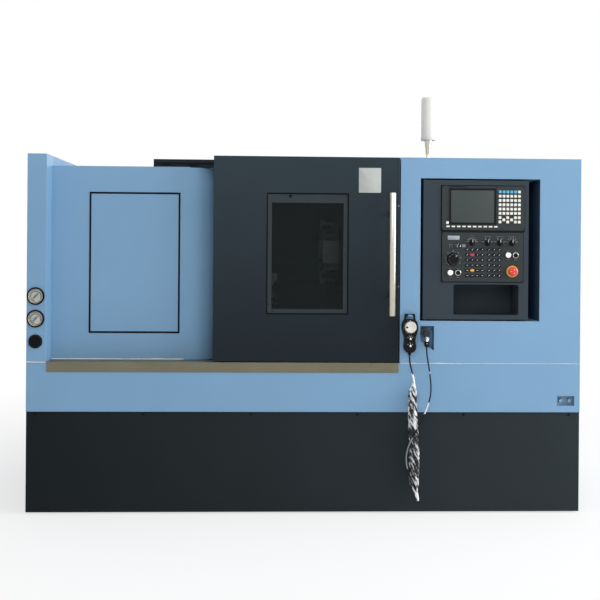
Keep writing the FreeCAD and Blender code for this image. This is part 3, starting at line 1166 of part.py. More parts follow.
def pendant_dial():
    front = FRONT_Y - PENDANT_DEPTH - CLEAR
    disc = many_sided((PENDANT_X, front, DIAL_Z), -FRONT_BACK, DIAL_RADIUS, DIAL_HEIGHT, ROUND_SIDES)
    grip = many_sided((PENDANT_X - DIAL_GRIP_PLACE, front - DIAL_HEIGHT, DIAL_Z), -FRONT_BACK, DIAL_GRIP_RADIUS,
                      DIAL_GRIP_HEIGHT, SMALL_SIDES)
    shaft = many_sided((PENDANT_X, front, DIAL_Z), FRONT_BACK, DIAL_SHAFT_RADIUS, 8, SMALL_SIDES)
    return fuse([disc, grip, shaft])


def pendant_knob(z):
    front = FRONT_Y - PENDANT_DEPTH - CLEAR
    disc = many_sided((PENDANT_X, front, z), -FRONT_BACK, PENDANT_KNOB_RADIUS, KNOB_DISC, SMALL_SIDES)
    bar = block((PENDANT_X - KNOB_BAR_HALF, PENDANT_X + KNOB_BAR_HALF), (front - KNOB_HEIGHT, front - KNOB_DISC),
                (z - PENDANT_KNOB_RADIUS, z + PENDANT_KNOB_RADIUS))
    shaft = many_sided((PENDANT_X, front, z), FRONT_BACK, PENDANT_SHAFT_RADIUS, 6, SMALL_SIDES)
    return fuse([disc, bar, shaft])


def plug_socket():
    """Pocket behind the cover's slanted cut-out, with the round socket on its back."""
    front = FRONT_Y + SHEET
    outer = prism(pocket_outline(POCKET_WALL, front), V(0, POCKET_DEPTH, 0))
    inner = prism(pocket_outline(0, front), V(0, POCKET_DEPTH - POCKET_WALL, 0))
    back = front + POCKET_DEPTH - POCKET_WALL
    socket = many_sided((SOCKET_X, back, SOCKET_Z), -FRONT_BACK, SOCKET_RADIUS, SOCKET_REACH, ROUND_SIDES)
    return fuse([outer.cut(inner), socket])


def cable_plug():
    """Angle plug: a round head on the socket, a neck down from it, and a body that tapers to the lead."""
    mouth = FRONT_Y + SHEET + POCKET_DEPTH - POCKET_WALL - SOCKET_REACH
    reach = mouth - PLUG_Y + PLUG_HEAD_LENGTH / 2
    head = many_sided((SOCKET_X, mouth, SOCKET_Z), -FRONT_BACK, SOCKET_RADIUS - 0.5, reach, ROUND_SIDES)
    body_top = PLUG_BOTTOM + PLUG_BODY_LENGTH
    taper_top = PLUG_BOTTOM + PLUG_TAPER
    neck = many_sided((SOCKET_X, PLUG_Y, SOCKET_Z), -UP, PLUG_NECK_RADIUS, SOCKET_Z - body_top, SMALL_SIDES)
    body = many_sided((SOCKET_X, PLUG_Y, body_top), -UP, PLUG_BODY_RADIUS, body_top - taper_top, SMALL_SIDES)
    taper = many_sided((SOCKET_X, PLUG_Y, taper_top), -UP, PLUG_BODY_RADIUS, PLUG_TAPER, SMALL_SIDES,
                       PLUG_LEAD_RADIUS + 2)
    return fuse([head, neck, body, taper])


def lamp_stem():
    foot = many_sided((LAMP_X, LAMP_Y, HEIGHT), UP, STEM_TOP_RADIUS + 3, STEM_FOOT, ROUND_SIDES)
    stem = many_sided((LAMP_X, LAMP_Y, HEIGHT + STEM_FOOT), UP, STEM_BOTTOM_RADIUS, STEM_HEIGHT - STEM_FOOT,
                      ROUND_SIDES, STEM_TOP_RADIUS)
    return fuse([foot, stem])


def lamp_body():
    z = HEIGHT + STEM_HEIGHT
    inner = LAMP_RADIUS - LAMP_EDGE
    levels = ((z, inner), (z + LAMP_EDGE, LAMP_RADIUS), (z + LAMP_HEIGHT - LAMP_EDGE, LAMP_RADIUS),
              (z + LAMP_HEIGHT, inner))
    return skin([ring_corners(V(LAMP_X, LAMP_Y, level), LEFT_RIGHT, FRONT_BACK, radius, ROUND_SIDES)
                 for level, radius in levels])


# ---------------------------------------------------------------- headstock, spindle and drive
def headstock():
    """Casting on the slope with a round nose, bored for the spindle."""
    body = slant_block(HEADSTOCK_X, (-HEADSTOCK_HALF, HEADSTOCK_HALF), (0, HEADSTOCK_TALL))
    nose = rod((HEADSTOCK_X[1], SPINDLE_Y, SPINDLE_Z), LEFT_RIGHT, NOSE_RADIUS, NOSE_X - HEADSTOCK_X[1])
    bore = rod((HEADSTOCK_X[0] - 1, SPINDLE_Y, SPINDLE_Z), LEFT_RIGHT, SPINDLE_RADIUS + RUN_FIT,
               NOSE_X - HEADSTOCK_X[0] + 2)
    return fuse([body, nose]).cut(bore)


def spindle():
    """Hollow shaft with the chuck flange in front and the belt pulley behind."""
    shaft = rod((SPINDLE_TAIL_X, SPINDLE_Y, SPINDLE_Z), LEFT_RIGHT, SPINDLE_RADIUS, CHUCK_X - SPINDLE_TAIL_X)
    face = (NOSE_X + CLEAR, SPINDLE_Y, SPINDLE_Z)
    flange = many_sided(face, LEFT_RIGHT, FLANGE_RADIUS, FLANGE_LENGTH, SMALL_SIDES)
    pulley = many_sided((PULLEY_X, SPINDLE_Y, SPINDLE_Z), LEFT_RIGHT, PULLEY_RADIUS, PULLEY_WIDTH, ROUND_SIDES)
    bore = rod((SPINDLE_TAIL_X, SPINDLE_Y, SPINDLE_Z), LEFT_RIGHT, BAR_RADIUS, CHUCK_X - SPINDLE_TAIL_X)
    return fuse([shaft, flange, pulley]).cut(bore)


def jaw_angles():
    return [90.0, 210.0, 330.0]


def jaw_slot(margin):
    """The jaw's root, lying up the chuck's face at twelve o'clock, about the X axis."""
    face = CHUCK_X + CHUCK_LENGTH
    return block((face - JAW_ROOT - margin, face + 1),
                 (-JAW_WIDTH / 4 - margin, JAW_WIDTH / 4 + margin),
                 (JAW_REACH[0] - JAW_STROKE - margin, CHUCK_RADIUS + 5))


def chuck():
    """Round power chuck with three radial slots across its face and a bore for bar."""
    drum_length = CHUCK_LENGTH - CHUCK_EDGE
    drum = many_sided((CHUCK_X, 0, 0), LEFT_RIGHT, CHUCK_RADIUS, drum_length, ROUND_SIDES)
    edge = many_sided((CHUCK_X + drum_length, 0, 0), LEFT_RIGHT, CHUCK_RADIUS, CHUCK_EDGE, ROUND_SIDES,
                      CHUCK_RADIUS - CHUCK_EDGE)
    body = fuse([drum, edge])
    tools = [small_bore((CHUCK_X - 1, 0, 0), LEFT_RIGHT, BAR_RADIUS, CHUCK_LENGTH + 2)]
    for angle in jaw_angles():
        slot = jaw_slot(CLEAR)
        slot.rotate(V(0, 0, 0), LEFT_RIGHT, angle - 90)
        tools.append(slot)
    body = cut(body, tools)
    body.translate(V(0, SPINDLE_Y, SPINDLE_Z))
    return body


def chuck_jaw(angle):
    """Stepped jaw whose narrow root slides in the chuck's slot."""
    face = CHUCK_X + CHUCK_LENGTH
    inner, outer = JAW_REACH
    half = JAW_WIDTH / 2
    root = block((face - JAW_ROOT, face + CLEAR), (-half / 2, half / 2), (inner, outer))
    low = block((face + CLEAR, face + JAW_LOW), (-half, half), (inner, outer))
    high = block((face + JAW_LOW, face + JAW_LENGTH), (-half, half), (inner + JAW_STEP, outer))
    jaw = fuse([root, low, high])
    jaw.rotate(V(0, 0, 0), LEFT_RIGHT, angle - 90)
    jaw.translate(V(0, SPINDLE_Y, SPINDLE_Z))
    return jaw


def spindle_motor():
    body = many_sided((MOTOR_X[0], MOTOR_Y, MOTOR_Z), LEFT_RIGHT, MOTOR_RADIUS, MOTOR_LENGTH, SMALL_SIDES)
    feet = block(grown(MOTOR_X, -MOTOR_FOOT_INSET), (MOTOR_Y - MOTOR_FOOT_HALF, MOTOR_Y + MOTOR_FOOT_HALF),
                 (BASE_TOP, MOTOR_Z - MOTOR_RADIUS / 2))
    bore = rod((MOTOR_X[0] - 1, MOTOR_Y, MOTOR_Z), LEFT_RIGHT, MOTOR_SHAFT_RADIUS + RUN_FIT,
               MOTOR_SHAFT_DEPTH + 3)
    return fuse([body, feet]).cut(bore)


def motor_pulley():
    start = (PULLEY_X, MOTOR_Y, MOTOR_Z)
    length = MOTOR_X[0] + MOTOR_SHAFT_DEPTH - PULLEY_X
    pulley = many_sided(start, LEFT_RIGHT, MOTOR_PULLEY_RADIUS, PULLEY_WIDTH, ROUND_SIDES)
    shaft = many_sided(start, LEFT_RIGHT, MOTOR_SHAFT_RADIUS, length, SMALL_SIDES)
    return fuse([pulley, shaft])


def belt_loop(inset, width, x):
    """The closed outline of a belt round both pulleys, pushed to its width."""
    near = PULLEY_RADIUS + inset
    far = MOTOR_PULLEY_RADIUS + inset
    across = MOTOR_Y - SPINDLE_Y
    down = SPINDLE_Z - MOTOR_Z
    span = math.hypot(across, down)
    lean = math.atan2(-down, across)
    spread = math.acos((near - far) / span)

    def at(cy, cz, radius, angle):
        return V(x, cy + radius * math.cos(angle), cz + radius * math.sin(angle))

    a1 = at(SPINDLE_Y, SPINDLE_Z, near, lean + spread)
    a2 = at(SPINDLE_Y, SPINDLE_Z, near, lean + math.pi)
    a3 = at(SPINDLE_Y, SPINDLE_Z, near, lean - spread)
    b1 = at(MOTOR_Y, MOTOR_Z, far, lean - spread)
    b2 = at(MOTOR_Y, MOTOR_Z, far, lean)
    b3 = at(MOTOR_Y, MOTOR_Z, far, lean + spread)
    edges = [Part.Arc(a1, a2, a3).toShape(), Part.LineSegment(a3, b1).toShape(),
             Part.Arc(b1, b2, b3).toShape(), Part.LineSegment(b3, a1).toShape()]
    return Part.Face(Part.Wire(edges)).extrude(V(width, 0, 0))


def drive_belt():
    width = PULLEY_WIDTH - 2 * BELT_MARGIN
    outer = belt_loop(CLEAR + BELT_THICKNESS, width, PULLEY_X + BELT_MARGIN)
    return outer.cut(belt_loop(CLEAR, width, PULLEY_X + BELT_MARGIN))


# ---------------------------------------------------------------- slides, turret and tailstock
def carriage():
    """Saddle on the two upper ways, with the guide that the cross slide climbs."""
    top = WAY_HEIGHT + CLEAR + CARRIAGE_TALL
    saddle = slant_block(CARRIAGE_X, CARRIAGE_U, (WAY_HEIGHT + CLEAR, top))
    keeper = slant_block(CARRIAGE_X, (WAYS[2][1] + CLEAR, WAYS[3][0] - CLEAR), (KEEPER_LIFT, WAY_HEIGHT + CLEAR))
    guide = slant_block((GUIDE_X - DOVETAIL_WIDTH / 2, GUIDE_X + DOVETAIL_WIDTH / 2), CARRIAGE_U,
                        (top, top + DOVETAIL_TALL))
    return fuse([saddle, keeper, guide])


def slide_base():
    return WAY_HEIGHT + 2 * CLEAR + CARRIAGE_TALL


def cross_slide():
    """Slide astride the carriage's guide, carrying the turret housing."""
    n = slide_base()
    plate = slant_block(SLIDE_X, SLIDE_U, (n, n + SLIDE_TALL))
    groove_half = DOVETAIL_WIDTH / 2 + CLEAR
    groove = slant_block((GUIDE_X - groove_half, GUIDE_X + groove_half), grown(SLIDE_U, 1),
                         (n - 1, n + DOVETAIL_TALL))
    housing_u = (TURRET_U - TURRET_HOUSING_HALF, TURRET_U + TURRET_HOUSING_HALF)
    housing = slant_block(TURRET_HOUSING_X, housing_u, (n + SLIDE_TALL, SPINDLE_RISE + TURRET_HOUSING_HALF))
    y, z = on_slope(TURRET_U, SPINDLE_RISE)
    bore = rod((TURRET_HOUSING_X[0] - 1, y, z), LEFT_RIGHT, DISC_SHAFT_RADIUS + RUN_FIT,
               DISC_SHAFT_LENGTH + BORE_END_PLAY + 1)
    return fuse([plate.cut(groove), housing]).cut(bore)


def turret_disc():
    """Eight-sided tool disc with a block and a square tool at each station."""
    y, z = on_slope(TURRET_U, SPINDLE_RISE)
    half = 180.0 / DISC_STATIONS
    corner = DISC_RADIUS / math.cos(math.radians(half))
    corners = [(DISC_X[0], y + corner * math.cos(math.radians(k * 2 * half + half)),
                z + corner * math.sin(math.radians(k * 2 * half + half))) for k in range(DISC_STATIONS)]
    disc = prism(corners, V(DISC_X[1] - DISC_X[0], 0, 0))
    hub = many_sided((DISC_X[0] - DISC_HUB_LENGTH, y, z), LEFT_RIGHT, DISC_HUB_RADIUS, DISC_HUB_LENGTH, SMALL_SIDES)
    shaft = many_sided((DISC_X[1], y, z), LEFT_RIGHT, DISC_SHAFT_RADIUS,
                       TURRET_HOUSING_X[0] + DISC_SHAFT_LENGTH - DISC_X[1], SMALL_SIDES)
    parts = [disc, hub, shaft]
    for k in range(DISC_STATIONS):
        angle = math.radians(k * 2 * half)
        holder = block(grown(DISC_X, -HOLDER_INSET), (-HOLDER_HALF, HOLDER_HALF),
                       (DISC_RADIUS - HOLDER_SINK, DISC_RADIUS + HOLDER_TALL))
        tool = block((DISC_X[0] - TOOL_OUT, DISC_X[0] - TOOL_OUT + TOOL_SIZE), (-TOOL_SIZE / 2, TOOL_SIZE / 2),
                     (DISC_RADIUS - TOOL_ROOT, DISC_RADIUS + TOOL_REACH))
        for piece in (holder, tool):
            piece.rotate(V(0, 0, 0), LEFT_RIGHT, math.degrees(angle) - 90)
            piece.translate(V(0, y, z))
            parts.append(piece)
    return fuse(parts)


def tailstock():
    """Body on the two lower ways, bored for its quill."""
    base = slant_block(TAILSTOCK_X, TAILSTOCK_U, (WAY_HEIGHT + CLEAR, WAY_HEIGHT + TAILSTOCK_BASE))
    keeper = slant_block(TAILSTOCK_X, (WAYS[0][1] + CLEAR, WAYS[1][0] - CLEAR), (KEEPER_LIFT, WAY_HEIGHT + CLEAR))
    body = slant_block(TAILSTOCK_X, (-TAILSTOCK_HALF, TAILSTOCK_U[1]),
                       (WAY_HEIGHT + TAILSTOCK_BASE, SPINDLE_RISE))
    barrel = rod((TAILSTOCK_X[0], SPINDLE_Y, SPINDLE_Z), LEFT_RIGHT, TAILSTOCK_HALF,
                 TAILSTOCK_X[1] - TAILSTOCK_X[0])
    bore = rod((TAILSTOCK_X[0] - 1, SPINDLE_Y, SPINDLE_Z), LEFT_RIGHT, QUILL_RADIUS + RUN_FIT,
               TAILSTOCK_X[1] - TAILSTOCK_X[0] + 1 - TAILSTOCK_WALL)
    return fuse([base, keeper, body, barrel]).cut(bore)


def quill():
    tube = many_sided((QUILL_FRONT_X, SPINDLE_Y, SPINDLE_Z), LEFT_RIGHT, QUILL_RADIUS, QUILL_LENGTH, ROUND_SIDES)
    centre = many_sided((QUILL_FRONT_X, SPINDLE_Y, SPINDLE_Z), -LEFT_RIGHT, CENTRE_RADIUS, CENTRE_LENGTH,
                        SMALL_SIDES, CENTRE_TIP)
    return fuse([tube, centre])


# ---------------------------------------------------------------- inner sheets and tank
def chamber_guard():
    """Sheets round the work space: left wall, chip trough, back wall and the wall behind the panel."""
    top = HEAD_COVER_TOP - SHEET
    right = RIGHT_X - SHEET
    wall_front = HEAD_Y + BEND_RADIUS + BEND_RETURN
    left_x = BEND_END_X - SHEET
    left = block((left_x, BEND_END_X), (wall_front, BACK_WALL_Y + SHEET), (TROUGH_Z, top))
    spindle_hole = rod((left_x - 1, SPINDLE_Y, SPINDLE_Z), LEFT_RIGHT, NOSE_RADIUS + 2, SHEET + 2)
    x = (BEND_END_X, right)
    back = block(x, (BACK_WALL_Y, BACK_WALL_Y + SHEET), (BED_TOP, top))
    floor = block(x, (TROUGH_FRONT_Y, BED_FRONT_Y), (TROUGH_Z, TROUGH_Z + SHEET))
    rise = BAND_TOP - SHEET
    lean = APRON_Y
    apron = prism(
        [(x[0], TROUGH_FRONT_Y, TROUGH_Z), (x[0], TROUGH_FRONT_Y + SHEET, TROUGH_Z),
         (x[0], lean + SHEET, rise), (x[0], lean, rise)],
        V(right - x[0], 0, 0))
    front = block((COVER_X + SHEET, right), (FRONT_WALL_Y - SHEET, FRONT_WALL_Y), (rise, top))
    lintel = block((COVER_X + SHEET, right), (FRONT_WALL_Y - SHEET, BACK_WALL_Y + SHEET), (top, HEAD_COVER_TOP))
    end = prism(
        [(left_x, lean, rise), (left_x, TROUGH_FRONT_Y, TROUGH_Z), (left_x, BED_FRONT_Y, TROUGH_Z),
         (left_x, BED_FRONT_Y, rise)],
        V(SHEET, 0, 0))
    sheets = fuse([left, back, floor, apron, front, lintel, end])
    return cut(sheets, [spindle_hole, machine_bed()])


def coolant_tank():
    z = (BASE_TOP, BASE_TOP + TANK_HEIGHT)
    tank = block(TANK_X, TANK_Y, z)
    middle = (TANK_Y[0] + TANK_Y[1]) / 2
    pump = many_sided((TANK_X[1] - PUMP_INSET, middle, z[1]), UP, PUMP_RADIUS, PUMP_HEIGHT, SMALL_SIDES)
    lid = block((TANK_X[0] + LID_INSET, TANK_X[1] - PUMP_INSET - LID_PUMP_GAP), grown(TANK_Y, -LID_SIDE_INSET),
                (z[1], z[1] + LID_THICKNESS))
    return fuse([tank, pump, lid])


# ---------------------------------------------------------------- hanging leads
PENDANT_LEAD = [
    (PENDANT_X, PENDANT_LEAD_Y, PENDANT_BOTTOM - GLAND_LENGTH), (PENDANT_X, PENDANT_LEAD_Y, 745),
    (509.0, -814.5, 702), (519.5, BUNDLE_Y, 656), (520.5, BUNDLE_Y, 626)]

PLUG_LEAD = [
    (SOCKET_X, PLUG_Y, PLUG_BOTTOM), (SOCKET_X, PLUG_Y, 784), (590, -809.5, 740), (599, -812, 682), (604, -816, 628),
    (603, -821, 584), (592, -826, 543), (576, -832, 503), (558, -839, 465), (537, -846, 424), (516, -850, 391),
    (499, -849, 359), (487, -845, 325), (481, -841, 287), (484, -840, 247), (496, -843, 206), (514, -846, 170),
    (529, -838, 142), (536, -822, 120)]

# height, x of the middle and radius of the wrapped bundle, from its tied top to its tail
BUNDLE_SECTIONS = [
    (626, 520.5, 5), (600, 516, 13), (570, 516, 20), (520, 517, 24), (440, 520, 25), (360, 525, 26),
    (280, 528, 26), (200, 526, 26), (152, 527, 24), (134, 530, 13), (100, 538, 8), (69, 545, 5)]


def lead(name, points, radius):
    """Six-sided tube along straight runs joined by tangent arcs, with its bend radii and volume printed."""
    p = [V(*q) for q in points]
    edges = []
    radii = []
    here = p[0]
    for before, at, after in zip(p, p[1:], p[2:]):
        first = (at - before).normalize()
        second = (after - at).normalize()
        turn = first.getAngle(second)
        reach = 0.45 * min((at - before).Length, (after - at).Length)
        radii.append(reach / math.tan(turn / 2))
        start = at - first * reach
        end = at + second * reach
        bisector = (second - first).normalize()
        sag = radii[-1] * (1 / math.cos(turn / 2) - 1)
        edges.append(Part.LineSegment(here, start).toShape())
        edges.append(Part.Arc(start, at + bisector * sag, end).toShape())
        here = end
    edges.append(Part.LineSegment(here, p[-1]).toShape())
    path = Part.Wire(edges)
    along = (p[1] - p[0]).normalize()
    side = along.cross(FRONT_BACK).normalize()
    other = along.cross(side)
    corners = ring_corners(p[0], side, other, radius, LEAD_SIDES)
    tube = path.makePipeShell([Part.makePolygon(corners + corners[:1])], True, False)
    ideal = LEAD_SIDES / 2 * math.sin(2 * math.pi / LEAD_SIDES) * radius * radius * path.Length
    print("%s: %.0f mm long, least bend %.0f mm, volume %.4f of section x length, radii %s"
          % (name, path.Length, min(radii), tube.Volume / ideal, [round(r) for r in radii]))
    return tube


def wrapped_bundle():
    """A tied film over the coiled part of the lead, as one closed body, fuller where the coil is."""
    return skin([ring_corners(V(x, BUNDLE_Y, z), LEFT_RIGHT, FRONT_BACK, radius, SMALL_SIDES)
                 for z, x, radius in BUNDLE_SECTIONS])


# ---------------------------------------------------------------- every node
def main():
    os.makedirs("parts", exist_ok=True)
    for build in (machine_bed, levelling_feet, front_skirt, rear_skirts, lower_guard, door_sill, end_cover,
                  gauge_cases, headstock_cover, access_door, top_rail, door_shell, door_gasket, door_glass,
                  door_handle, right_cover, rear_guard, electrical_cabinet, cabinet_door, operator_box,
                  display_unit, display_keys, machine_panel, machine_keys, estop_button,
                  override_knob, pendant_body, pendant_dial, plug_socket, cable_plug, lamp_stem, lamp_body,
                  headstock, spindle, chuck, spindle_motor, motor_pulley, drive_belt, carriage, cross_slide,
                  turret_disc, tailstock, quill, chamber_guard, coolant_tank, wrapped_bundle):
        save(build.__name__, build())
    save("needle_upper", gauge_needle(GAUGE_Z[0]))
    save("needle_lower", gauge_needle(GAUGE_Z[1]))
    for number, x in enumerate(SELECTOR_X, 1):
        save("selector_%d" % number, selector(x, SELECTOR_Z, SELECTOR_RADIUS))
    save("key_switch", selector(*KEY_SWITCH_AT, KEY_SWITCH_RADIUS))
    for number, angle in enumerate(jaw_angles(), 1):
        save("chuck_jaw_%d" % number, chuck_jaw(angle))
    save("pendant_axis_knob", pendant_knob(PENDANT_KNOB_Z[0]))
    save("pendant_step_knob", pendant_knob(PENDANT_KNOB_Z[1]))
    save("pendant_lead", lead("pendant_lead", PENDANT_LEAD, LEAD_RADIUS))
    save("plug_lead", lead("plug_lead", PLUG_LEAD, PLUG_LEAD_RADIUS))


main()
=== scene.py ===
from math import cos, pi, radians, sin

import bmesh
import bpy
from mathutils import Matrix, Vector, noise


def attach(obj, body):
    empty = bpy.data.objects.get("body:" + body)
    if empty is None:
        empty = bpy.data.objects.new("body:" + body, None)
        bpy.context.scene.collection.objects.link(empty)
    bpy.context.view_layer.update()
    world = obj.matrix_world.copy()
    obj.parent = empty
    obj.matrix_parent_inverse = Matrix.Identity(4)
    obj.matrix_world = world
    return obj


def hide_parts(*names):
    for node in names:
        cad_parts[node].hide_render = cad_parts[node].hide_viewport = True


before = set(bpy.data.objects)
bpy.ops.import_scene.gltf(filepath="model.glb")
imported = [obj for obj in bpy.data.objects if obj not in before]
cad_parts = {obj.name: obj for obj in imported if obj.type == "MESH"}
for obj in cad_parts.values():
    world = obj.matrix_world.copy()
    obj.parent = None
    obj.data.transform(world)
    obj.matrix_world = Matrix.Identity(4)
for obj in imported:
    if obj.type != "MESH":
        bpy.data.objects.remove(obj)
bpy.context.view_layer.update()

scene = bpy.context.scene

# Shapes and places are in millimetres in the part's frame, and MM turns them into metres.
# Materials, the camera, the floor and the lights are in metres.
MM = 0.001
FRONT_Y = -790
PANEL_Y = -792
DISPLAY_Y = -794
SKIRT_Y = -784
BAND_Z = 728
LOW_ROOF_Z, ROOF_Z = 1680, 1728
FORWARD, BACKWARD = (0, -1, 0), (0, 1, 0)
UP, DOWN = (0, 0, 1), (0, 0, -1)


def placed(name, data):
    """A new object with this data, in the scene."""
    made = bpy.data.objects.new(name, data)
    scene.collection.objects.link(made)
    return made


# ---- camera
def make_camera():
    data = bpy.data.cameras.new("camera")
    data.sensor_width = 36
    data.lens = 51.91
    data.shift_y = -0.092
    data.clip_start = 0.05
    data.clip_end = 200
    camera = placed("camera", data)
    yaw, roll = radians(-1.877), radians(0.436)
    forward = Vector((-sin(yaw), cos(yaw), 0))
    right = Vector((cos(yaw) * cos(roll), sin(yaw) * cos(roll), sin(roll)))
    up = right.cross(forward)
    turn = Matrix((right, up, -forward)).transposed()
    camera.matrix_world = Matrix.Translation((-0.170, -4.970, 1.300)) @ turn.to_4x4()
    scene.camera = camera


# ---- materials
def linear(colour):
    """An sRGB colour in 0 to 255 as the linear colour that Blender works in."""
    parts = [c / 255 for c in colour]
    return [p / 12.92 if p <= 0.04045 else ((p + 0.055) / 1.055) ** 2.4 for p in parts] + [1]


def shade(colour, share):
    """A linear colour made darker or lighter."""
    return [min(1, c * share) for c in colour[:3]] + [1]


class Shader:
    """The nodes of a material or of the world, around its main shader."""

    def __init__(self, owner, main="Principled BSDF"):
        owner.use_nodes = True
        self.owner = owner
        self.tree = owner.node_tree
        self.main = self.tree.nodes[main]

    def feed(self, node, inputs):
        """Gives a node's sockets constants, or joins other nodes' outputs to them."""
        for key, value in inputs.items():
            if isinstance(value, bpy.types.NodeSocket):
                self.tree.links.new(value, node.inputs[key])
            else:
                node.inputs[key].default_value = value
        return node

    def node(self, kind, inputs={}, **settings):
        made = self.tree.nodes.new("ShaderNode" + kind)
        for key, value in settings.items():
            setattr(made, key, value)
        return self.feed(made, inputs)

    def along(self, axis):
        """The object coordinate X, Y or Z."""
        return self.node("SeparateXYZ", {"Vector": self.place}).outputs[axis]

    def noise(self, scale, detail=2, stretch=(1, 1, 1)):
        spread = self.node("Mapping", {"Scale": stretch, "Vector": self.place})
        made = self.node("TexNoise", {"Scale": scale, "Detail": detail, "Vector": spread.outputs[0]})
        return made.outputs["Fac"]

    def spread(self, value, low, high, to_low=0, to_high=1):
        made = self.node("MapRange", {"Value": value, "From Min": low, "From Max": high, "To Min": to_low,
            "To Max": to_high}, clamp=True)
        return made.outputs["Result"]

    def sum(self, operation, a, b):
        return self.node("Math", {0: a, 1: b}, operation=operation).outputs["Value"]

    def blend(self, factor, a, b):
        """Goes from colour a to colour b by a factor."""
        return self.node("Mix", {0: factor, 6: a, 7: b}, data_type="RGBA").outputs[2]

    def bump(self, height, strength, depth, inputs={}):
        made = self.node("Bump", {"Strength": strength, "Distance": depth, "Height": height})
        return self.feed(made, inputs).outputs["Normal"]

    def edge_mask(self, radius):
        """1 along outer and inner edges, 0 on flats; and the bevelled normal."""
        soft = self.node("Bevel", {"Radius": radius}, samples=4).outputs["Normal"]
        flat = self.node("NewGeometry").outputs["Normal"]
        dot = self.node("VectorMath", {0: soft, 1: flat}, operation="DOT_PRODUCT")
        return self.spread(dot.outputs["Value"], 0.995, 0.8), soft

    def seen(self):
        """1 for what is looked at straight, in a reflection or through glass, 0 for other light."""
        rays = self.node("LightPath").outputs
        mirrored = self.sum("MAXIMUM", rays["Is Camera Ray"], rays["Is Glossy Ray"])
        return self.sum("MAXIMUM", mirrored, rays["Is Transmission Ray"])

    def show(self, factor, under, over, output):
        """Ends in a mix of two shaders."""
        mix = self.node("MixShader", {0: factor, 1: under.outputs[0], 2: over.outputs[0]})
        self.feed(self.tree.nodes[output], {"Surface": mix.outputs[0]})


def new_shader(name):
    """The nodes of a new material, placed by object coordinates."""
    s = Shader(bpy.data.materials.new(name))
    s.place = s.node("TexCoord").outputs["Object"]
    return s


BRUSHED_ALONG = {"X": (0.012, 1, 1), "Z": (1, 1, 0.012)}


def finish(name, colour, rough=0.5, metal=0, spec=0.5, mottle=0.04, scale=3, smudge=0.06, grain=0,
        grain_scale=1100, brushed=None, wear=None, edge=0.0015, coat=0, painted_light_ramp=None):
    """A paint, plastic or metal with colour variation, smudges, fine relief and worn edges, and where
    asked a painted light ramp.

    mottle is how far its patches vary and scale how small they are. brushed is the axis of its lines,
    wear the colour of its edges, and painted_light_ramp is (axis, low, high, share): painted light and
    shade, along that axis the colour goes from that share to full."""
    s = new_shader(name)
    base = linear(colour)
    patches = s.spread(s.noise(scale, 4), 0.3, 0.7)
    tone = s.blend(patches, shade(base, 1 - mottle), shade(base, 1 + mottle))
    roughness = s.spread(s.noise(9, 5), 0.3, 0.7, rough - smudge, rough + smudge)
    if brushed:
        relief = s.noise(900, 3, BRUSHED_ALONG[brushed])
        tone = s.blend(s.spread(relief, 0.35, 0.65, 0, 0.22), tone, shade(base, 0.55))
        roughness = s.sum("ADD", roughness, s.spread(relief, 0.3, 0.7, -0.06, 0.08))
        grain = 0.12
    elif grain:
        relief = s.noise(grain_scale)
    mask, normal = s.edge_mask(edge)
    if wear:
        patchy = s.sum("MULTIPLY", mask, s.spread(s.noise(60, 4), 0.4, 0.65, 0.1, 0.75))
        tone = s.blend(patchy, tone, linear(wear))
    # painted light and shade: the colour is scaled along one axis to stand in for how the light falls
    if painted_light_ramp:
        axis, low, high, share = painted_light_ramp
        strength = s.spread(s.along(axis), low, high, share, 1)
        light_ramped = s.node("VectorMath", {0: tone, "Scale": strength}, operation="SCALE")
        tone = light_ramped.outputs["Vector"]
    if grain:
        normal = s.bump(relief, grain, 0.0002, {"Normal": normal})
    s.feed(s.main, {"Base Color": tone, "Roughness": roughness, "Normal": normal, "Metallic": metal,
        "Specular IOR Level": spec, "Coat Weight": coat, "Anisotropic": 0.4 if brushed else 0})
    return s.owner


def glass(name, colour, alpha):
    """Thin tinted pane, partly see-through, with faint wipe marks."""
    s = new_shader(name)
    marks = s.noise(14, 6, (1, 1, 0.3))
    tint = s.blend(s.spread(marks, 0.4, 0.8), linear(colour), linear([c * 1.25 for c in colour]))
    s.feed(s.main, {"Base Color": tint, "Roughness": s.spread(marks, 0.45, 0.75, 0.03, 0.08),
        "Alpha": alpha, "Specular IOR Level": 0.12})
    return s.owner


def lead_rubber(name, colour, bands=()):
    """Cable jacket; each band is (low z, high z, colour) where tape or film covers it."""
    s = new_shader(name)
    z = s.sum("ADD", s.along("Z"), s.sum("MULTIPLY", s.noise(120, 3), 0.006))
    tone = s.blend(s.noise(40, 3), linear(colour), shade(linear(colour), 1.5))
    for low, high, cover in bands:
        inside = s.sum("MULTIPLY", s.sum("GREATER_THAN", z, low * MM), s.sum("LESS_THAN", z, high * MM))
        tone = s.blend(inside, tone, linear(cover))
    s.feed(s.main, {"Base Color": tone, "Roughness": s.spread(s.noise(200, 3), 0.3, 0.7, 0.42, 0.58),
        "Specular IOR Level": 0.14})
    return s.owner


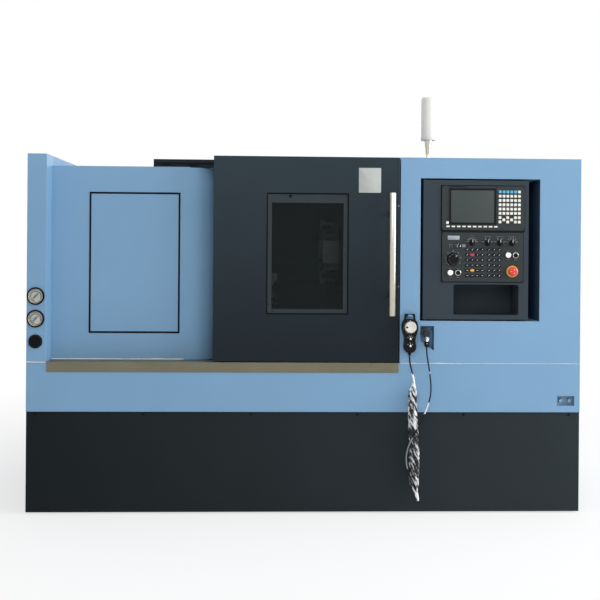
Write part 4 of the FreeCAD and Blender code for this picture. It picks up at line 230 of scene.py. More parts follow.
def film_material():
    """Thin clear wrapping over a dark core, white along its slanting folds and towards its ends as painted
    highlights.
    """
    s = new_shader("clear_film")
    height = s.along("Z")
    s.place = s.node("Mapping", {"Rotation": (0, 0.55, 0), "Vector": s.place}).outputs["Vector"]
    folds = s.noise(88, 4, (1, 1, 0.2))
    patches = s.spread(s.noise(17, 2, (1, 1, 0.5)), 0.35, 0.65, -0.09, 0.07)
    ends = s.sum("ADD", s.spread(height, 0.575, 0.63, 0, 0.22), s.spread(height, 0.1, 0.15, 0.12, 0))
    # painted highlights: white streaks along the folds and towards both ends
    highlight_streaks = s.spread(s.sum("ADD", s.sum("ADD", folds, patches), ends), 0.46, 0.64)
    fine = s.noise(260, 2, (1, 1, 0.4))
    s.feed(s.main, {"Base Color": s.blend(highlight_streaks, linear((30, 34, 38)), linear((244, 246, 246))),
        "Alpha": s.spread(highlight_streaks, 0, 1, 0.86, 0.96), "Roughness": s.spread(fine, 0.3, 0.7, 0.12, 0.32),
        "Specular IOR Level": 0.3, "Normal": s.bump(folds, 0.6, 0.002)})
    return s.owner


def lit_plastic(name, colour, strength):
    s = new_shader(name)
    base = linear(colour)
    s.feed(s.main, {"Base Color": s.blend(s.noise(300), base, shade(base, 0.94)), "Roughness": 0.3,
        "Emission Color": base, "Emission Strength": strength})
    return s.owner


blue_paint = finish("blue_powder_coat", (120, 158, 190), spec=0.3, mottle=0.025, grain=0.25,
    wear=(176, 202, 222))
# painted shade: a slightly darker copy of the blue paint for the shaded inside of the socket pocket
blue_shade = finish("blue_powder_coat_painted_shade", (118, 154, 186), rough=0.55, spec=0.3, mottle=0.03,
    grain=0.25, wear=(160, 190, 214))
# painted shade: the door shell's colour goes darker towards the bottom, down to 0.45 of itself
dark_paint = finish("dark_powder_coat_painted_shade", (44, 55, 62), spec=0.1, mottle=0.05, grain=0.3,
    painted_light_ramp=("Z", 0.75, 1.72, 0.45), wear=(84, 98, 108))
beam_paint = finish("dark_beam_coat", (26, 34, 41), rough=0.55, spec=0.1, mottle=0.05, grain=0.3,
    wear=(70, 84, 94))
# painted light: the base skirt goes darker to the left and lighter to the right, a painted sheen from the
# light on the right
base_paint = finish("dark_base_coat_painted_light", (45, 52, 55), rough=0.55, spec=0.06, mottle=0.05, grain=0.3,
    painted_light_ramp=("X", -1.34, 1.34, 0.4), wear=(70, 80, 88))
box_paint = finish("operator_box_coat", (48, 58, 65), rough=0.55, spec=0.18, grain=0.35,
    wear=(92, 104, 110))
plate_paint = finish("control_plate_coat", (47, 53, 55), rough=0.6, spec=0.2, mottle=0.05, grain=0.5,
    grain_scale=1800, wear=(86, 94, 98))
# brushed stainless steel, its olive-brown tone a painted reflection of the surroundings
sill_steel_reflection_tint = finish("brushed_sill_steel", (117, 114, 96), rough=0.36, metal=0.85, mottle=0.07, scale=5,
    brushed="X", wear=(190, 188, 176))
rod_steel = finish("brushed_rod_steel", (204, 198, 182), rough=0.28, metal=0.9, mottle=0.05, brushed="Z",
    wear=(220, 216, 204))
chrome = finish("bright_steel", (206, 206, 202), rough=0.14, metal=1, smudge=0.04)
# painted reflection: the bezel ring's warm tint and strong light and dark patches stand in for what it
# reflects
bezel_reflection_steel = finish("bezel_reflection_steel", (132, 130, 114), rough=0.3, metal=0.8, spec=0.3, mottle=0.6, scale=34)
gauge_rim = finish("gauge_black", (9, 11, 14), spec=0.08, mottle=0.1, smudge=0.08)
# painted shade: dark blue-grey standing in for the shadow in the right cover's recess
recess_painted_shade = finish("recess_painted_shade", (58, 78, 106), rough=0.6, spec=0.1)
glass_border = finish("glass_border", (42, 51, 55), rough=0.4, spec=0.2, mottle=0.08, scale=20)
seam_dark = finish("seam_shadow", (58, 78, 98), rough=0.7, spec=0.1)
zinc = finish("zinc_steel", (150, 152, 154), rough=0.4, metal=0.9, mottle=0.1, scale=30,
    wear=(190, 190, 190))
ground_steel = finish("ground_steel", (168, 170, 172), rough=0.3, metal=0.95, mottle=0.06, scale=12,
    wear=(205, 206, 206))
cast_paint = finish("cast_iron_paint", (96, 108, 112), rough=0.55, mottle=0.08, scale=6, grain=0.8,
    grain_scale=320, wear=(130, 138, 140))
inner_sheet = finish("inner_sheet_steel", (104, 112, 116), rough=0.48, metal=0.35, mottle=0.08, scale=5,
    wear=(140, 148, 150))
cabinet_paint = finish("cabinet_grey_coat", (176, 180, 178), spec=0.35, mottle=0.03, grain=0.4,
    wear=(205, 208, 206))
plug_grey = finish("plug_grey", (44, 46, 48), rough=0.45, spec=0.2, mottle=0.06, scale=40, grain=0.3,
    wear=(92, 96, 100), edge=0.0008)
rubber = finish("black_rubber", (11, 12, 13), rough=0.65, spec=0.1, mottle=0.15, scale=40, grain=0.5,
    grain_scale=700)
plastic = finish("black_plastic", (12, 13, 14), rough=0.45, spec=0.14, mottle=0.08, scale=30, grain=0.4,
    grain_scale=1500, wear=(34, 36, 38), edge=0.0008)
navy_plastic = finish("dark_pendant_plastic", (11, 13, 18), rough=0.42, spec=0.14, mottle=0.1, scale=30,
    grain=0.5, grain_scale=1400, wear=(30, 34, 42), edge=0.0008)
key_cream = finish("key_cream", (232, 229, 220), rough=0.45, mottle=0.03, scale=80, wear=(246, 244, 238),
    edge=0.0006)
key_blue = finish("key_blue", (92, 178, 214), rough=0.45, mottle=0.05, scale=80, edge=0.0006)
key_red = finish("key_red", (206, 44, 46), rough=0.4, mottle=0.05, scale=80, edge=0.0006)
key_orange = finish("key_orange", (236, 158, 44), rough=0.4, mottle=0.05, scale=80, edge=0.0006)
stop_red = finish("stop_red", (214, 46, 44), rough=0.32, scale=60, coat=0.4, wear=(235, 110, 100),
    edge=0.0008)
ring_yellow = finish("ring_yellow", (226, 168, 42), rough=0.4, mottle=0.05, scale=60)
ink_white = finish("printed_white", (230, 232, 230), rough=0.6, mottle=0.05, scale=200)
ink_grey = finish("printed_grey", (132, 138, 140), rough=0.6, mottle=0.06, scale=200)
plate_pale = finish("blank_plate", (176, 179, 176), spec=0.3, scale=40, grain=0.2, wear=(226, 228, 226),
    edge=0.0006)
plate_silver = finish("blank_silver_plate", (150, 158, 168), rough=0.36, metal=0.6, mottle=0.06, scale=60,
    brushed="X")
dial_cream = finish("dial_cream", (218, 216, 200), rough=0.36, scale=60, wear=(238, 236, 224), edge=0.0008)
dial_silver = finish("dial_silver", (170, 170, 158), rough=0.34, metal=0.25, mottle=0.05, scale=50)
lamp_white = finish("lamp_white", (214, 213, 208), rough=0.34, mottle=0.02, scale=14, wear=(244, 243, 240),
    edge=0.002)
screen_dark = finish("display_glass", (60, 68, 67), spec=0.25, mottle=0.07, scale=4)
bead_white = finish("sealant_bead", (214, 211, 202), mottle=0.08, scale=60, grain=0.8, grain_scale=300)
brass = finish("port_brass", (184, 160, 112), rough=0.3, metal=1, mottle=0.08, scale=60)
window_glass = glass("window_glass", (22, 28, 27), 0.5)
gauge_glass = glass("gauge_glass", (225, 228, 228), 0.1)
button_lit = lit_plastic("lit_button", (246, 246, 242), 0.35)
work_light = lit_plastic("work_light", (255, 250, 238), 5)
film = film_material()
lead_a = lead_rubber("lead_jacket_a", (17, 18, 20), [(600, 683, (226, 226, 222))])
lead_b = lead_rubber("lead_jacket_b", (15, 16, 18),
    [(684, 695, (190, 190, 186)), (494, 548, (222, 221, 214)), (232, 384, (126, 132, 136))])
core_rubber = lead_rubber("curly_jacket", (20, 22, 25))


# ---- mesh helpers
def about(middle, reach):
    """The low and the high place round a middle."""
    return middle - reach, middle + reach


def bevel(shape, edges, reach, segments):
    bmesh.ops.bevel(shape, geom=edges, offset=reach, segments=segments, profile=0.5, affect="EDGES")


class Piece:
    """Gathers shapes in millimetres, each with its material, into one mesh object."""

    def __init__(self, name):
        self.name = name
        self.points, self.faces, self.slots, self.materials = [], [], [], []

    def take(self, shape, material):
        if material not in self.materials:
            self.materials.append(material)
        slot = self.materials.index(material)
        first = len(self.points)
        shape.verts.index_update()
        self.points += [v.co.copy() for v in shape.verts]
        self.faces += [[first + v.index for v in f.verts] for f in shape.faces]
        self.slots += [slot] * len(shape.faces)
        shape.free()

    def block(self, x, y, z, material, edge=0, turn=None):
        """A box between (low, high) pairs with rounded edges; turn is a matrix for after."""
        shape = bmesh.new()
        bmesh.ops.create_cube(shape, size=1)
        for v in shape.verts:
            v.co = Vector([low + (high - low) * (c + 0.5) for c, (low, high) in zip(v.co, (x, y, z))])
        if edge:
            bevel(shape, shape.edges[:], edge, 3)
        if turn:
            shape.transform(turn)
        self.take(shape, material)

    def round(self, start, axis, profile, material, sides=48, flutes=(0, 0)):
        """Turned shape: profile is (radius, distance along the axis); a radius of 0 closes it.

        flutes is how many and how deep."""
        shape = bmesh.new()
        axis = Vector(axis)
        across = axis.orthogonal().normalized()
        side = axis.cross(across)
        count, depth = flutes
        rings = []
        for radius, along in profile:
            middle = Vector(start) + axis * along
            ring = []
            for k in range(sides if radius else 1):
                angle = 2 * pi * k / sides
                reach = radius - depth * (0.5 + 0.5 * cos(count * angle)) if count and radius else radius
                ring.append(shape.verts.new(middle + (across * cos(angle) + side * sin(angle)) * reach))
            rings.append(ring)
        self.skin(shape, rings, material)

    def skin(self, shape, rings, material):
        """Faces between rings of points and over both ends; a ring of one point is a tip."""
        for low, high in zip(rings, rings[1:]):
            sides = max(len(low), len(high))
            for k in range(sides):
                after = (k + 1) % sides
                if len(low) == 1:
                    shape.faces.new((low[0], high[after], high[k]))
                elif len(high) == 1:
                    shape.faces.new((low[k], low[after], high[0]))
                else:
                    shape.faces.new((low[k], low[after], high[after], high[k]))
        for ring in (rings[0], rings[-1]):
            if len(ring) > 1:
                shape.faces.new(ring)
        bmesh.ops.recalc_face_normals(shape, faces=shape.faces[:])
        self.take(shape, material)

    def boss(self, start, profile, material, sides=48, flutes=(0, 0)):
        """A turned shape that comes forward from its start."""
        self.round(start, FORWARD, profile, material, sides, flutes)

    def slab(self, outline, y, material, edge=0, segments=3):
        """An outline of (x, z) pushed from y[0] in front to y[1] behind, its front edge rounded."""
        shape = bmesh.new()
        front = [shape.verts.new((px, y[0], pz)) for px, pz in outline]
        back = [shape.verts.new((px, y[1], pz)) for px, pz in outline]
        face = shape.faces.new(front)
        shape.faces.new(back[::-1])
        for k in range(len(front)):
            after = (k + 1) % len(front)
            shape.faces.new((front[k], back[k], back[after], front[after]))
        if edge:
            bevel(shape, list(face.edges), edge, segments)
        bmesh.ops.recalc_face_normals(shape, faces=shape.faces[:])
        self.take(shape, material)

    def frame_ring(self, x, z, width, y, material, edge=0):
        """Four bars round a rectangle, width wide inside the outline."""
        left, right = (x[0], x[0] + width), (x[1] - width, x[1])
        low, high, between = (z[0], z[0] + width), (z[1] - width, z[1]), (z[0] + width, z[1] - width)
        for bar_x, bar_z in ((x, high), (x, low), (left, between), (right, between)):
            self.block(bar_x, y, bar_z, material, edge)

    def tube(self, path, radii, material, sides=8):
        """A closed tube through points, each with its radius."""
        shape = bmesh.new()
        points = [Vector(p) for p in path]
        rings = []
        for k, at in enumerate(points):
            along = (points[min(k + 1, len(points) - 1)] - points[max(k - 1, 0)]).normalized()
            across = along.cross(Vector(FORWARD)).normalized()
            side = along.cross(across)
            rings.append([shape.verts.new(at + (across * cos(a) + side * sin(a)) * radii[k])
                for a in [2 * pi * j / sides for j in range(sides)]])
        self.skin(shape, rings, material)

    def build(self, body, replaces=None, smooth=35):
        mesh = bpy.data.meshes.new(self.name)
        mesh.from_pydata([p * MM for p in self.points], [], self.faces)
        for material in self.materials:
            mesh.materials.append(material)
        mesh.polygons.foreach_set("material_index", self.slots)
        mesh.shade_smooth()
        mesh.set_sharp_from_angle(angle=radians(smooth))
        piece = placed(self.name, mesh)
        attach(piece, body)
        if replaces:
            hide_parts(replaces)
        return piece


def turned(x, z, degrees):
    """Rotation about the line along Y through (x, z); clockwise seen from the front."""
    there = Matrix.Translation((x, 0, z))
    return there @ Matrix.Rotation(radians(degrees), 4, "Y") @ there.inverted()


def ticks(piece, x, z, radius, start, end, count, length, width, y, material=ink_white):
    """Short printed lines on an arc round (x, z); angles run clockwise from the top."""
    for k in range(count):
        angle = start + (end - start) * k / max(1, count - 1)
        piece.block(about(x, width / 2), y, (z + radius, z + radius + length), material, 0,
            turned(x, z, angle))


def screw(piece, x, y, z, radius, material=rubber):
    """Pan-head screw on a front face at y, with a socket."""
    profile = [(radius * a, radius * b) for a, b in ((1, 0), (1, 0.25), (0.8, 0.5), (0.45, 0.58))]
    piece.boss((x, y, z), profile, material, 20)
    piece.boss((x, y - 0.56 * radius, z), [(radius * 0.42, 0), (radius * 0.4, 0.1)], rubber, 6)


def screws(piece, places_x, y, places_z, radius, material=rubber):
    """A screw at each pair of places."""
    for x in places_x:
        for z in places_z:
            screw(piece, x, y, z, radius, material)


def on_circle(x, z, radius, degrees):
    """A point on a circle round (x, z)."""
    return x + radius * cos(radians(degrees)), z + radius * sin(radians(degrees))


def rounded(x, z, corner, steps=5):
    """Corners of a rectangle with round corners, as (x, z) points."""
    points = []
    for cx, cz, first in ((x[1] - corner, z[1] - corner, 0), (x[0] + corner, z[1] - corner, 90),
            (x[0] + corner, z[0] + corner, 180), (x[1] - corner, z[0] + corner, 270)):
        for k in range(steps + 1):
            angle = radians(first + 90 * k / steps)
            points.append((cx + corner * cos(angle), cz + corner * sin(angle)))
    return points


# ---- hanging leads
PENDANT_LEAD = [(499.5, -811, 769), (499.5, -811, 745), (509, -814.5, 702), (519.5, -818, 656),
    (520.5, -818, 626)]
PLUG_LEAD = [(583, -808, 808), (583, -808, 784), (590, -809.5, 740), (599, -812, 682), (604, -816, 628),
    (603, -821, 584), (592, -826, 543), (576, -832, 503), (558, -839, 465), (537, -846, 424),
    (516, -850, 391), (499, -849, 359), (487, -845, 325), (481, -841, 287), (484, -840, 247),
    (496, -843, 206), (514, -846, 170), (529, -838, 142), (536, -822, 120)]
# height, x and y of the middle, and radius of the wrapped bundle
BUNDLE = [(684, 512.8, -815.6, 4.4), (655, 519.2, -817.8, 5.4), (630, 520, -818, 8),
    (612, 517, -818, 15.5), (600, 515, -818, 19), (570, 514, -818, 21), (520, 515, -818, 22.5),
    (440, 518, -818, 24), (360, 522, -818, 25.5), (280, 525, -818, 26), (200, 524, -818, 25.5),
    (152, 526, -818, 23), (134, 530, -818, 14), (100, 538, -818, 8.5), (69, 545, -818, 5)]


def lead_curve(name, points, radius, material, steps=8):
    """A smooth lead along its route's points, given in millimetres."""
    data = bpy.data.curves.new(name, "CURVE")
    data.dimensions = "3D"
    data.bevel_depth = radius * MM
    data.bevel_resolution = 4
    data.resolution_u = steps
    data.use_fill_caps = True
    spline = data.splines.new("NURBS")
    spline.points.add(len(points) - 1)
    for target, point in zip(spline.points, points):
        target.co = (*[c * MM for c in point], 1)
    spline.order_u = 3
    spline.use_endpoint_u = True
    data.materials.append(material)
    lead = placed(name, data)
    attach(lead, "base")
    return lead


def bundle_at(z):
    """(x, y, radius) of the wrapped bundle at a height."""
    for upper, lower in zip(BUNDLE, BUNDLE[1:]):
        if lower[0] <= z <= upper[0]:
            part = (upper[0] - z) / (upper[0] - lower[0])
            smooth = part * part * (3 - 2 * part)
            return [a + (b - a) * smooth for a, b in zip(upper[1:], lower[1:])]
    return BUNDLE[-1][1:]


def core_points():
    """The curly lead inside the film: a close coil with a quarter bend at each end."""
    turns, per_turn, top, pitch, bend = 32, 14, 586, 13.2, 9
    coil = []
    count = turns * per_turn
    for k in range(count + 1):
        angle = 2 * pi * k / per_turn
        z = top - pitch * k / per_turn
        x, y, radius = bundle_at(z)
        reach = min(14.5, radius - 7.5, 9 + 0.1 * k, 9 + 0.1 * (count - k))
        coil.append((x + reach * cos(angle), y + reach * sin(angle), z))
    first, last = coil[0], coil[-1]
    steps = [radians(a) for a in range(0, 90, 18)]
    lead_in = [(520.5, -818, 622), (521.5, -821, 614), (523.5, -825, 604)]
    lead_in += [(first[0], first[1] - bend * cos(a), first[2] + bend - bend * sin(a)) for a in steps]
    lead_out = [(last[0], last[1] + bend * cos(a), last[2] - bend + bend * sin(a)) for a in steps[::-1]]
    lead_out += [(535.5, -813, 142), (536, -817, 133), (536, -821, 124)]
    return lead_in + coil + lead_out


def curve_length(curve):
    """Length of a lead's own smooth line, in metres."""
    data = curve.data.copy()
    data.bevel_depth = 0
    bare = bpy.data.objects.new("bare", data)
    mesh = bpy.data.meshes.new_from_object(bare)
    total = sum((mesh.vertices[e.vertices[0]].co - mesh.vertices[e.vertices[1]].co).length
        for e in mesh.edges)
    bpy.data.objects.remove(bare)
    bpy.data.meshes.remove(mesh)
    return total


def make_film():
    """Crumpled wrapping pulled round the coil: twisted folds over the bundle's form."""
    around, step, twist, flatness = 44, 3.2, 0.021, 0.8
    levels = []
    z = BUNDLE[0][0]
    while z > BUNDLE[-1][0]:
        levels.append(z)
        z -= step
    wrap = Piece("film_wrap")
    for z in levels:
        x, y, radius = bundle_at(z)
        thin = min(1, radius / 20)
        for k in range(around):
            angle = 2 * pi * k / around
            fold = angle + z * twist
            crease = abs(noise.noise(Vector((cos(fold) * 1.25, sin(fold) * 1.25, z * 0.012)) * 1.7))
            fine = noise.noise(Vector((cos(angle) * 3.1, sin(angle) * 3.1, z * 0.05)))
            reach = radius * (1 - thin * (0.42 * crease - 0.02)) + thin * 1.3 * fine
            reach_x, reach_y = reach * cos(angle), flatness * reach * sin(angle)
            wrap.points.append(Vector((x + reach_x, y + reach_y, z + 1.5 * fine)))
    for a in range(0, (len(levels) - 1) * around, around):
        for k in range(around):
            after = (k + 1) % around
            wrap.faces.append((a + k, a + around + k, a + around + after, a + after))
    wrap.faces.append(list(range(around)))
    wrap.faces.append([len(wrap.points) - 1 - k for k in range(around)])
    wrap.slots, wrap.materials = [0] * len(wrap.faces), [film]
    return wrap.build("base", "wrapped_bundle", 180)


def make_leads():
    pendant = lead_curve("pendant_cord", PENDANT_LEAD, 3.5, lead_a)
    plug = lead_curve("plug_cord", PLUG_LEAD, 3.25, lead_b)
    core = lead_curve("curly_cord", core_points(), 2.9, core_rubber, 2)
    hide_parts("pendant_lead")
    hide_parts("plug_lead")
    wrap = make_film()
    curve_length(pendant)
    curve_length(core)
    curve_length(plug)


# ---- angle plug and socket
def make_plug():
    p = Piece("angle_plug")
    x, y, z = 583, -808, 874
    mouth_y, pocket_y = -773, -739
    p.boss((x, mouth_y, z), [(17, 0), (17, 26), (17.5, 27), (17.5, 39), (16.6, 41.2), (13, 42), (0, 42)],
        plug_grey, 48, (24, 0.5))
    p.round((x, y, z - 15), DOWN, [(8, 0), (8, 9), (7.2, 10), (7.2, 14), (8, 15), (8, 22.4)], chrome, 32)
    p.block((x + 5, x + 11.4), about(y, 4.5), (z - 34.5, z - 21), chrome, 1)
    p.round((x, y, z - 36.6), DOWN, [(10.4, 0), (11.5, 1.2), (11.5, 21), (10.6, 23), (7.4, 27),
        (5.3, 29.2)], plastic, 32)
    p.block((x - 2.2, x + 1.4), (y - 12, y - 10.6), (z - 48, z - 44.8), ink_white, 0.4)
    p.build("base", "cable_plug")
    s = Piece("socket_face")
    s.boss((x, pocket_y, z), [(18.6, 0), (18.6, 33), (17.6, 36.4), (16.4, 36.6)], ink_grey, 40)
    screws(s, about(x, 24), pocket_y, about(z, 20), 3.2, chrome)
    s.build("base")


make_camera()
make_plug()
make_leads()


# ---- left column: gauges and blank plug
def make_gauges():
    x, flange_z = -1297, {"needle_upper": 1045, "needle_lower": 937}
    p = Piece("pressure_gauges")
    lens = Piece("gauge_lenses")
    dial_y, ink_y = -792, (-793.2, -793)
    for z in flange_z.values():
        p.boss((x, FRONT_Y, z), [(42.5, 0), (42.5, 4.4), (41.6, 6.2), (39.2, 7), (35.2, 6.6), (35, 0.5)],
            gauge_rim, 64)
        p.boss((x, FRONT_Y, z), [(35.2, 0.6), (35.2, 6.2), (34.4, 6.6), (31.8, 5.4), (30.6, 3.2),
            (30.6, 0.7)], bezel_reflection_steel, 64)
        p.round((x, FRONT_Y, z), BACKWARD, [(30, 0), (30, 36), (27, 38)], plastic, 40)
        # A black disc behind the dial shows as a dark ring round it: the gap, with painted shade from the
        # bezel.
        p.boss((x, dial_y, z), [(32.6, 0), (32.6, 0.9)], gauge_rim, 64)
        p.boss((x, dial_y, z), [(28.4, 0), (28.4, 1)], dial_silver, 64)
        ticks(p, x, z, 20.6, -170, 30, 60, 5, 2.4, ink_y, gauge_rim)
        ticks(p, x, z, 23.6, 40, 110, 26, 3.6, 2.4, ink_y, gauge_rim)
        ticks(p, x, z, 20, -135, 135, 10, 3.4, 1.6, (-793.25, -793), gauge_rim)
        ticks(p, x, z, 12, -160, 20, 22, 2, 1.7, ink_y, ink_grey)
        p.boss((x, -793, z), [(4.6, 0), (4.6, 0.3)], plastic, 24)
        lens.boss((x, -796.3, z), [(33.6, 0), (33.6, 0.5)], gauge_glass, 64)
    p.build("base", "gauge_cases")
    lens.build("base")
    for body, z in flange_z.items():
        n = Piece(body + "_hand")
        hand = [(-3, -17), (3, -17), (3.4, 0), (2.8, 9), (0.6, 25), (-0.6, 25), (-2.8, 9), (-3.4, 0)]
        c, s = cos(radians(45)), sin(radians(45))
        n.slab([(x + a * c + b * s, z + b * c - a * s) for a, b in hand], (-796.2, -795), gauge_rim, 0.2, 2)
        n.boss((x, -794.2, z), [(1.4, 0), (1.4, 0.5), (4.6, 0.6), (4.4, 1.7), (0, 1.7)], gauge_rim, 24)
        n.build(body, body)
    cap = Piece("blank_plug")
    z = 828
    cap.boss((x, FRONT_Y, z), [(33.4, 0), (33.4, 2.6), (32.4, 4.6), (29.6, 5.4), (26.5, 5.2),
        (25.5, 5.05)], navy_plastic, 56)
    cap.boss((x, FRONT_Y - 5, z), [(25.6, 0), (25.6, 0.2)], gauge_rim, 56)
    for angle in (90, 210, 330):
        sx, sz = on_circle(x, z, 37.5, angle)
        screw(cap, sx, FRONT_Y, sz, 1.8)
    cap.build("base")


# ---- headstock cover: seal, beads, seams
def bead(piece, start, end, y, z, size, seed):
    """A hand-laid line of sealant that thins and thickens as it goes."""
    path, radii = [], []
    steps = max(8, int(abs(end - start) / 9))
    for k in range(steps + 1):
        x = start + (end - start) * k / steps
        rough = noise.noise(Vector((x * 0.013, seed, 0)))
        fine = noise.noise(Vector((x * 0.08, seed, 5)))
        path.append((x, y, z + 0.8 * rough + 0.5 * fine))
        radii.append(max(0.5, size * (1 + 0.55 * rough + 0.3 * fine)))
    piece.tube(path, radii, bead_white)


def make_seals():
    p = Piece("sealant_beads")
    cover_y, column_x, step_x, half_x = -686, -1247, -600, 1338
    bead(p, -half_x, -1250, FRONT_Y - 0.6, 729, 3, 1)
    bead(p, 457, 760, FRONT_Y - 0.4, 728.5, 1.9, 7)
    bead(p, 760, half_x, FRONT_Y - 0.2, 728.5, 1.2, 11)
    bead(p, column_x, step_x, cover_y, 731.2, 2.6, 3)
    p.build("base")
    s = Piece("access_seal")
    s.frame_ring((-1066, -621), (859, 1553), 8.7, (cover_y - 0.6, cover_y + 10), rubber, 0.9)
    s.build("base")
    # Thin dark sheets on the back and right wall of the recess beside the operator box are painted shade.
    g = Piece("recess_shadow_paint")
    recess_back_y, recess_side_x, recess_z = -600, 1138, (936, 1627)
    g.block((1082.5, 1137.4), (recess_back_y - 0.5, recess_back_y), recess_z, recess_painted_shade)
    g.block((recess_side_x - 0.5, recess_side_x), (-786, recess_back_y - 0.1), recess_z, recess_painted_shade)
    g.build("base")
    h = Piece("cover_fasteners")
    screws(h, (-1296, -782, -265, 252, 770, 1288), SKIRT_Y, (479,), 5.5)
    for slot_x in ((-720, -673), (-584, -537)):
        h.block(slot_x, (-675.6, -674), (1683, 1697), rubber)
    h.build("base")


# ---- sliding door
def make_door():
    h = Piece("grab_handle")
    x, y, r, length = 410, -836, 15.5, 592
    h.round((x, y, 961), UP, [(9, 0), (r - 2.4, 0), (r - 0.7, 0.7), (r, 2.4), (r, length - 2.4),
        (r - 0.7, length - 0.7), (r - 2.4, length), (9, length)], rod_steel, 64)
    for z in (1059, 1455):
        h.boss((x, FRONT_Y, z), [(14, 0), (14, 3), (9.2, 4), (9, 6), (9, 40)], plastic, 36)
    h.build("sliding_door", "door_handle")
    d = Piece("door_trim")
    glass_x, glass_z, pane_y, band = (-195, 203), (963, 1551), (-784.6, -784.1), 25
    d.frame_ring((glass_x[0] - 0.5, glass_x[1] + 0.5), (glass_z[0] - 0.5, glass_z[1] + 0.5), 4.5,
        (-790.8, -784.2), rubber, 1.4)
    d.frame_ring(glass_x, glass_z, 27, (-771.4, -765), inner_sheet, 1)
    d.frame_ring(glass_x, glass_z, band, pane_y, glass_border)
    d.block((glass_x[0] + band, glass_x[1] - band), pane_y, (glass_z[1] - 48, glass_z[1] - band),
        glass_border)
    d.boss((-80, -784.4, 1535), [(7, 0), (7, 1.4), (5.6, 2.6), (0, 2.6)], gauge_rim, 24)
    for sx, sz in ((-160, 1503), (-165, 977), (-181, 1010), (188, 1257)):
        screw(d, sx, pane_y[0], sz, 3.2)
    d.slab(rounded((250, 358), (1555, 1675), 3), (-790.6, -789.9), plate_pale, 0.3, 2)
    d.block((442, 449.6), (-790.9, -789.9), (736, 1726), dark_paint, 0.4)
    screws(d, (445.8,), -790.9, (1492, 1100), 2.6, chrome)
    d.build("sliding_door")


def make_panel_seams():
    """Sheet seams and screws on the ends, the back and the roofs."""
    p = Piece("panel_seams")
    half, head, proud, margin, end_x, back_y, step_x = 1.2, 5.5, 0.06, 24, 1340, 690, 455

    def heights(top):
        return BAND_Z + margin, (BAND_Z + top) / 2, top - margin

    for x, outward in ((-end_x, -1), (end_x, 1)):
        skin, axis = about(x, proud), (outward, 0, 0)
        flat_head = [(head, 0), (head, proud), (0, proud)]
        for y, top in ((-300, ROOF_Z), (200, LOW_ROOF_Z if outward < 0 else ROOF_Z)):
            p.block(skin, about(y, half), (BAND_Z + 12, top - 12), seam_dark)
            for place in about(y, 30):
                for z in heights(top):
                    p.round((x, place, z), axis, flat_head, ground_steel, 20)
        p.block(skin, (-780, 680), about(BAND_Z, half), seam_dark)
        p.block(skin, (-30 - half, -30 + half), (20, 490), rubber)
        for y in (-700, -380, -60, 0, 320, 640):
            for z in (40, 462):
                p.round((x, y, z), axis, flat_head, ground_steel, 20)
    pan_head = [(head, 0), (head, 1.4), (4.2, 2.2), (0, 2.2)]
    for x in (-890, -400):
        p.block(about(x, half), (back_y, back_y + 0.3), (BAND_Z + 12, LOW_ROOF_Z - 12), seam_dark)
    for x in (-1310, -1100, -920, -860, -645, -430, -370, -150, 70, 1150, 1310):
        for z in heights(LOW_ROOF_Z if x < step_x else ROOF_Z):
            p.round((x, back_y, z), BACKWARD, pan_head, ground_steel, 20)
    for z in range(1440, 1597, 26):
        p.block((-790, -500), (back_y, back_y + 2.6), (z, z + 15), blue_paint, 2.2)
        p.block((-788, -502), (back_y, back_y + 0.9), (z - 4, z), rubber)
    for y in (-200, 250):
        p.block((-1200, step_x - 15), about(y, half), (LOW_ROOF_Z, LOW_ROOF_Z + 0.2), seam_dark)
    for places_x, places_y, z in (((-1180, -820, -460, -100, 260, 425), (-380, -225, -175, 225, 275, 660),
            LOW_ROOF_Z), ((490, 900, 1310), (-740, -300, 180, 660), ROOF_Z)):
        for x in places_x:
            for y in places_y:
                p.round((x, y, z), UP, pan_head, ground_steel, 20)
    p.build("base")


make_gauges()
make_seals()
make_door()
make_panel_seams()


# ---- display and machine panel
def joint_line(piece, x, z):
    """The dark gap round a unit that is let into the operator box."""
    gap = 4
    piece.frame_ring((x[0] - gap, x[1] + gap), (z[0] - gap, z[1] + gap), gap, (-789.8, -787.9), rubber, 0.3)


def key_cap(piece, x, z, half_x, half_z, corner, tone, edge):
    piece.slab(rounded(about(x, half_x), about(z, half_z), corner, 3), (DISPLAY_Y - 3, DISPLAY_Y + 0.1),
        tone, edge, 2)


def make_display():
    p = Piece("display_front")
    y = DISPLAY_Y
    joint_line(p, (655, 1060), (1376, 1592))
    p.frame_ring((690.8, 921.2), (1404.8, 1581.2), 9.4, (y - 1.4, y + 0.4), plastic, 1.2)
    p.block((699.5, 912.5), (y + 0.2, y + 1.2), (1413.5, 1572.5), screen_dark, 0.3)
    p.block((684.4, 685.4), (y - 0.3, y + 0.2), (1424, 1588), rubber)
    p.block((663, 685), (y - 0.25, y + 0.2), (1509, 1510), rubber)
    p.block((690, 775), (y - 0.7, y + 0.2), (1586, 1589.6), rubber, 0.2)
    screws(p, (660, 783, 925, 1055), y, (1587,), 2.6)
    screws(p, (660, 789, 1055), y, (1381,), 2.6)
    p.build("operator_box")
    k = Piece("display_key_caps")
    for column in range(6):
        for row in [0, 1, 2, 3, 4, 5, 6.5] if column in (1, 3) else range(8):
            x, z = 939 + column * 18.9, 1565 - row * 20.9
            key_cap(k, x, z, 6.5, 6.5, 1.4, key_blue if row == 0 and column < 5 else key_cream, 0.8)
            mark = 1 if (row * 7 + column * 3) % 3 else 2
            k.block(about(x, mark), (y - 3.12, y - 2.9), about(z, 0.5), ink_grey)
    for i in range(10):
        key_cap(k, 685 + 26 * i, 1395, 8.5, 3.5, 1.2, key_cream, 0.7)
    key_cap(k, 682, 1413, 6.5, 6.5, 1.4, key_cream, 0.8)
    k.build("operator_box", "display_keys")


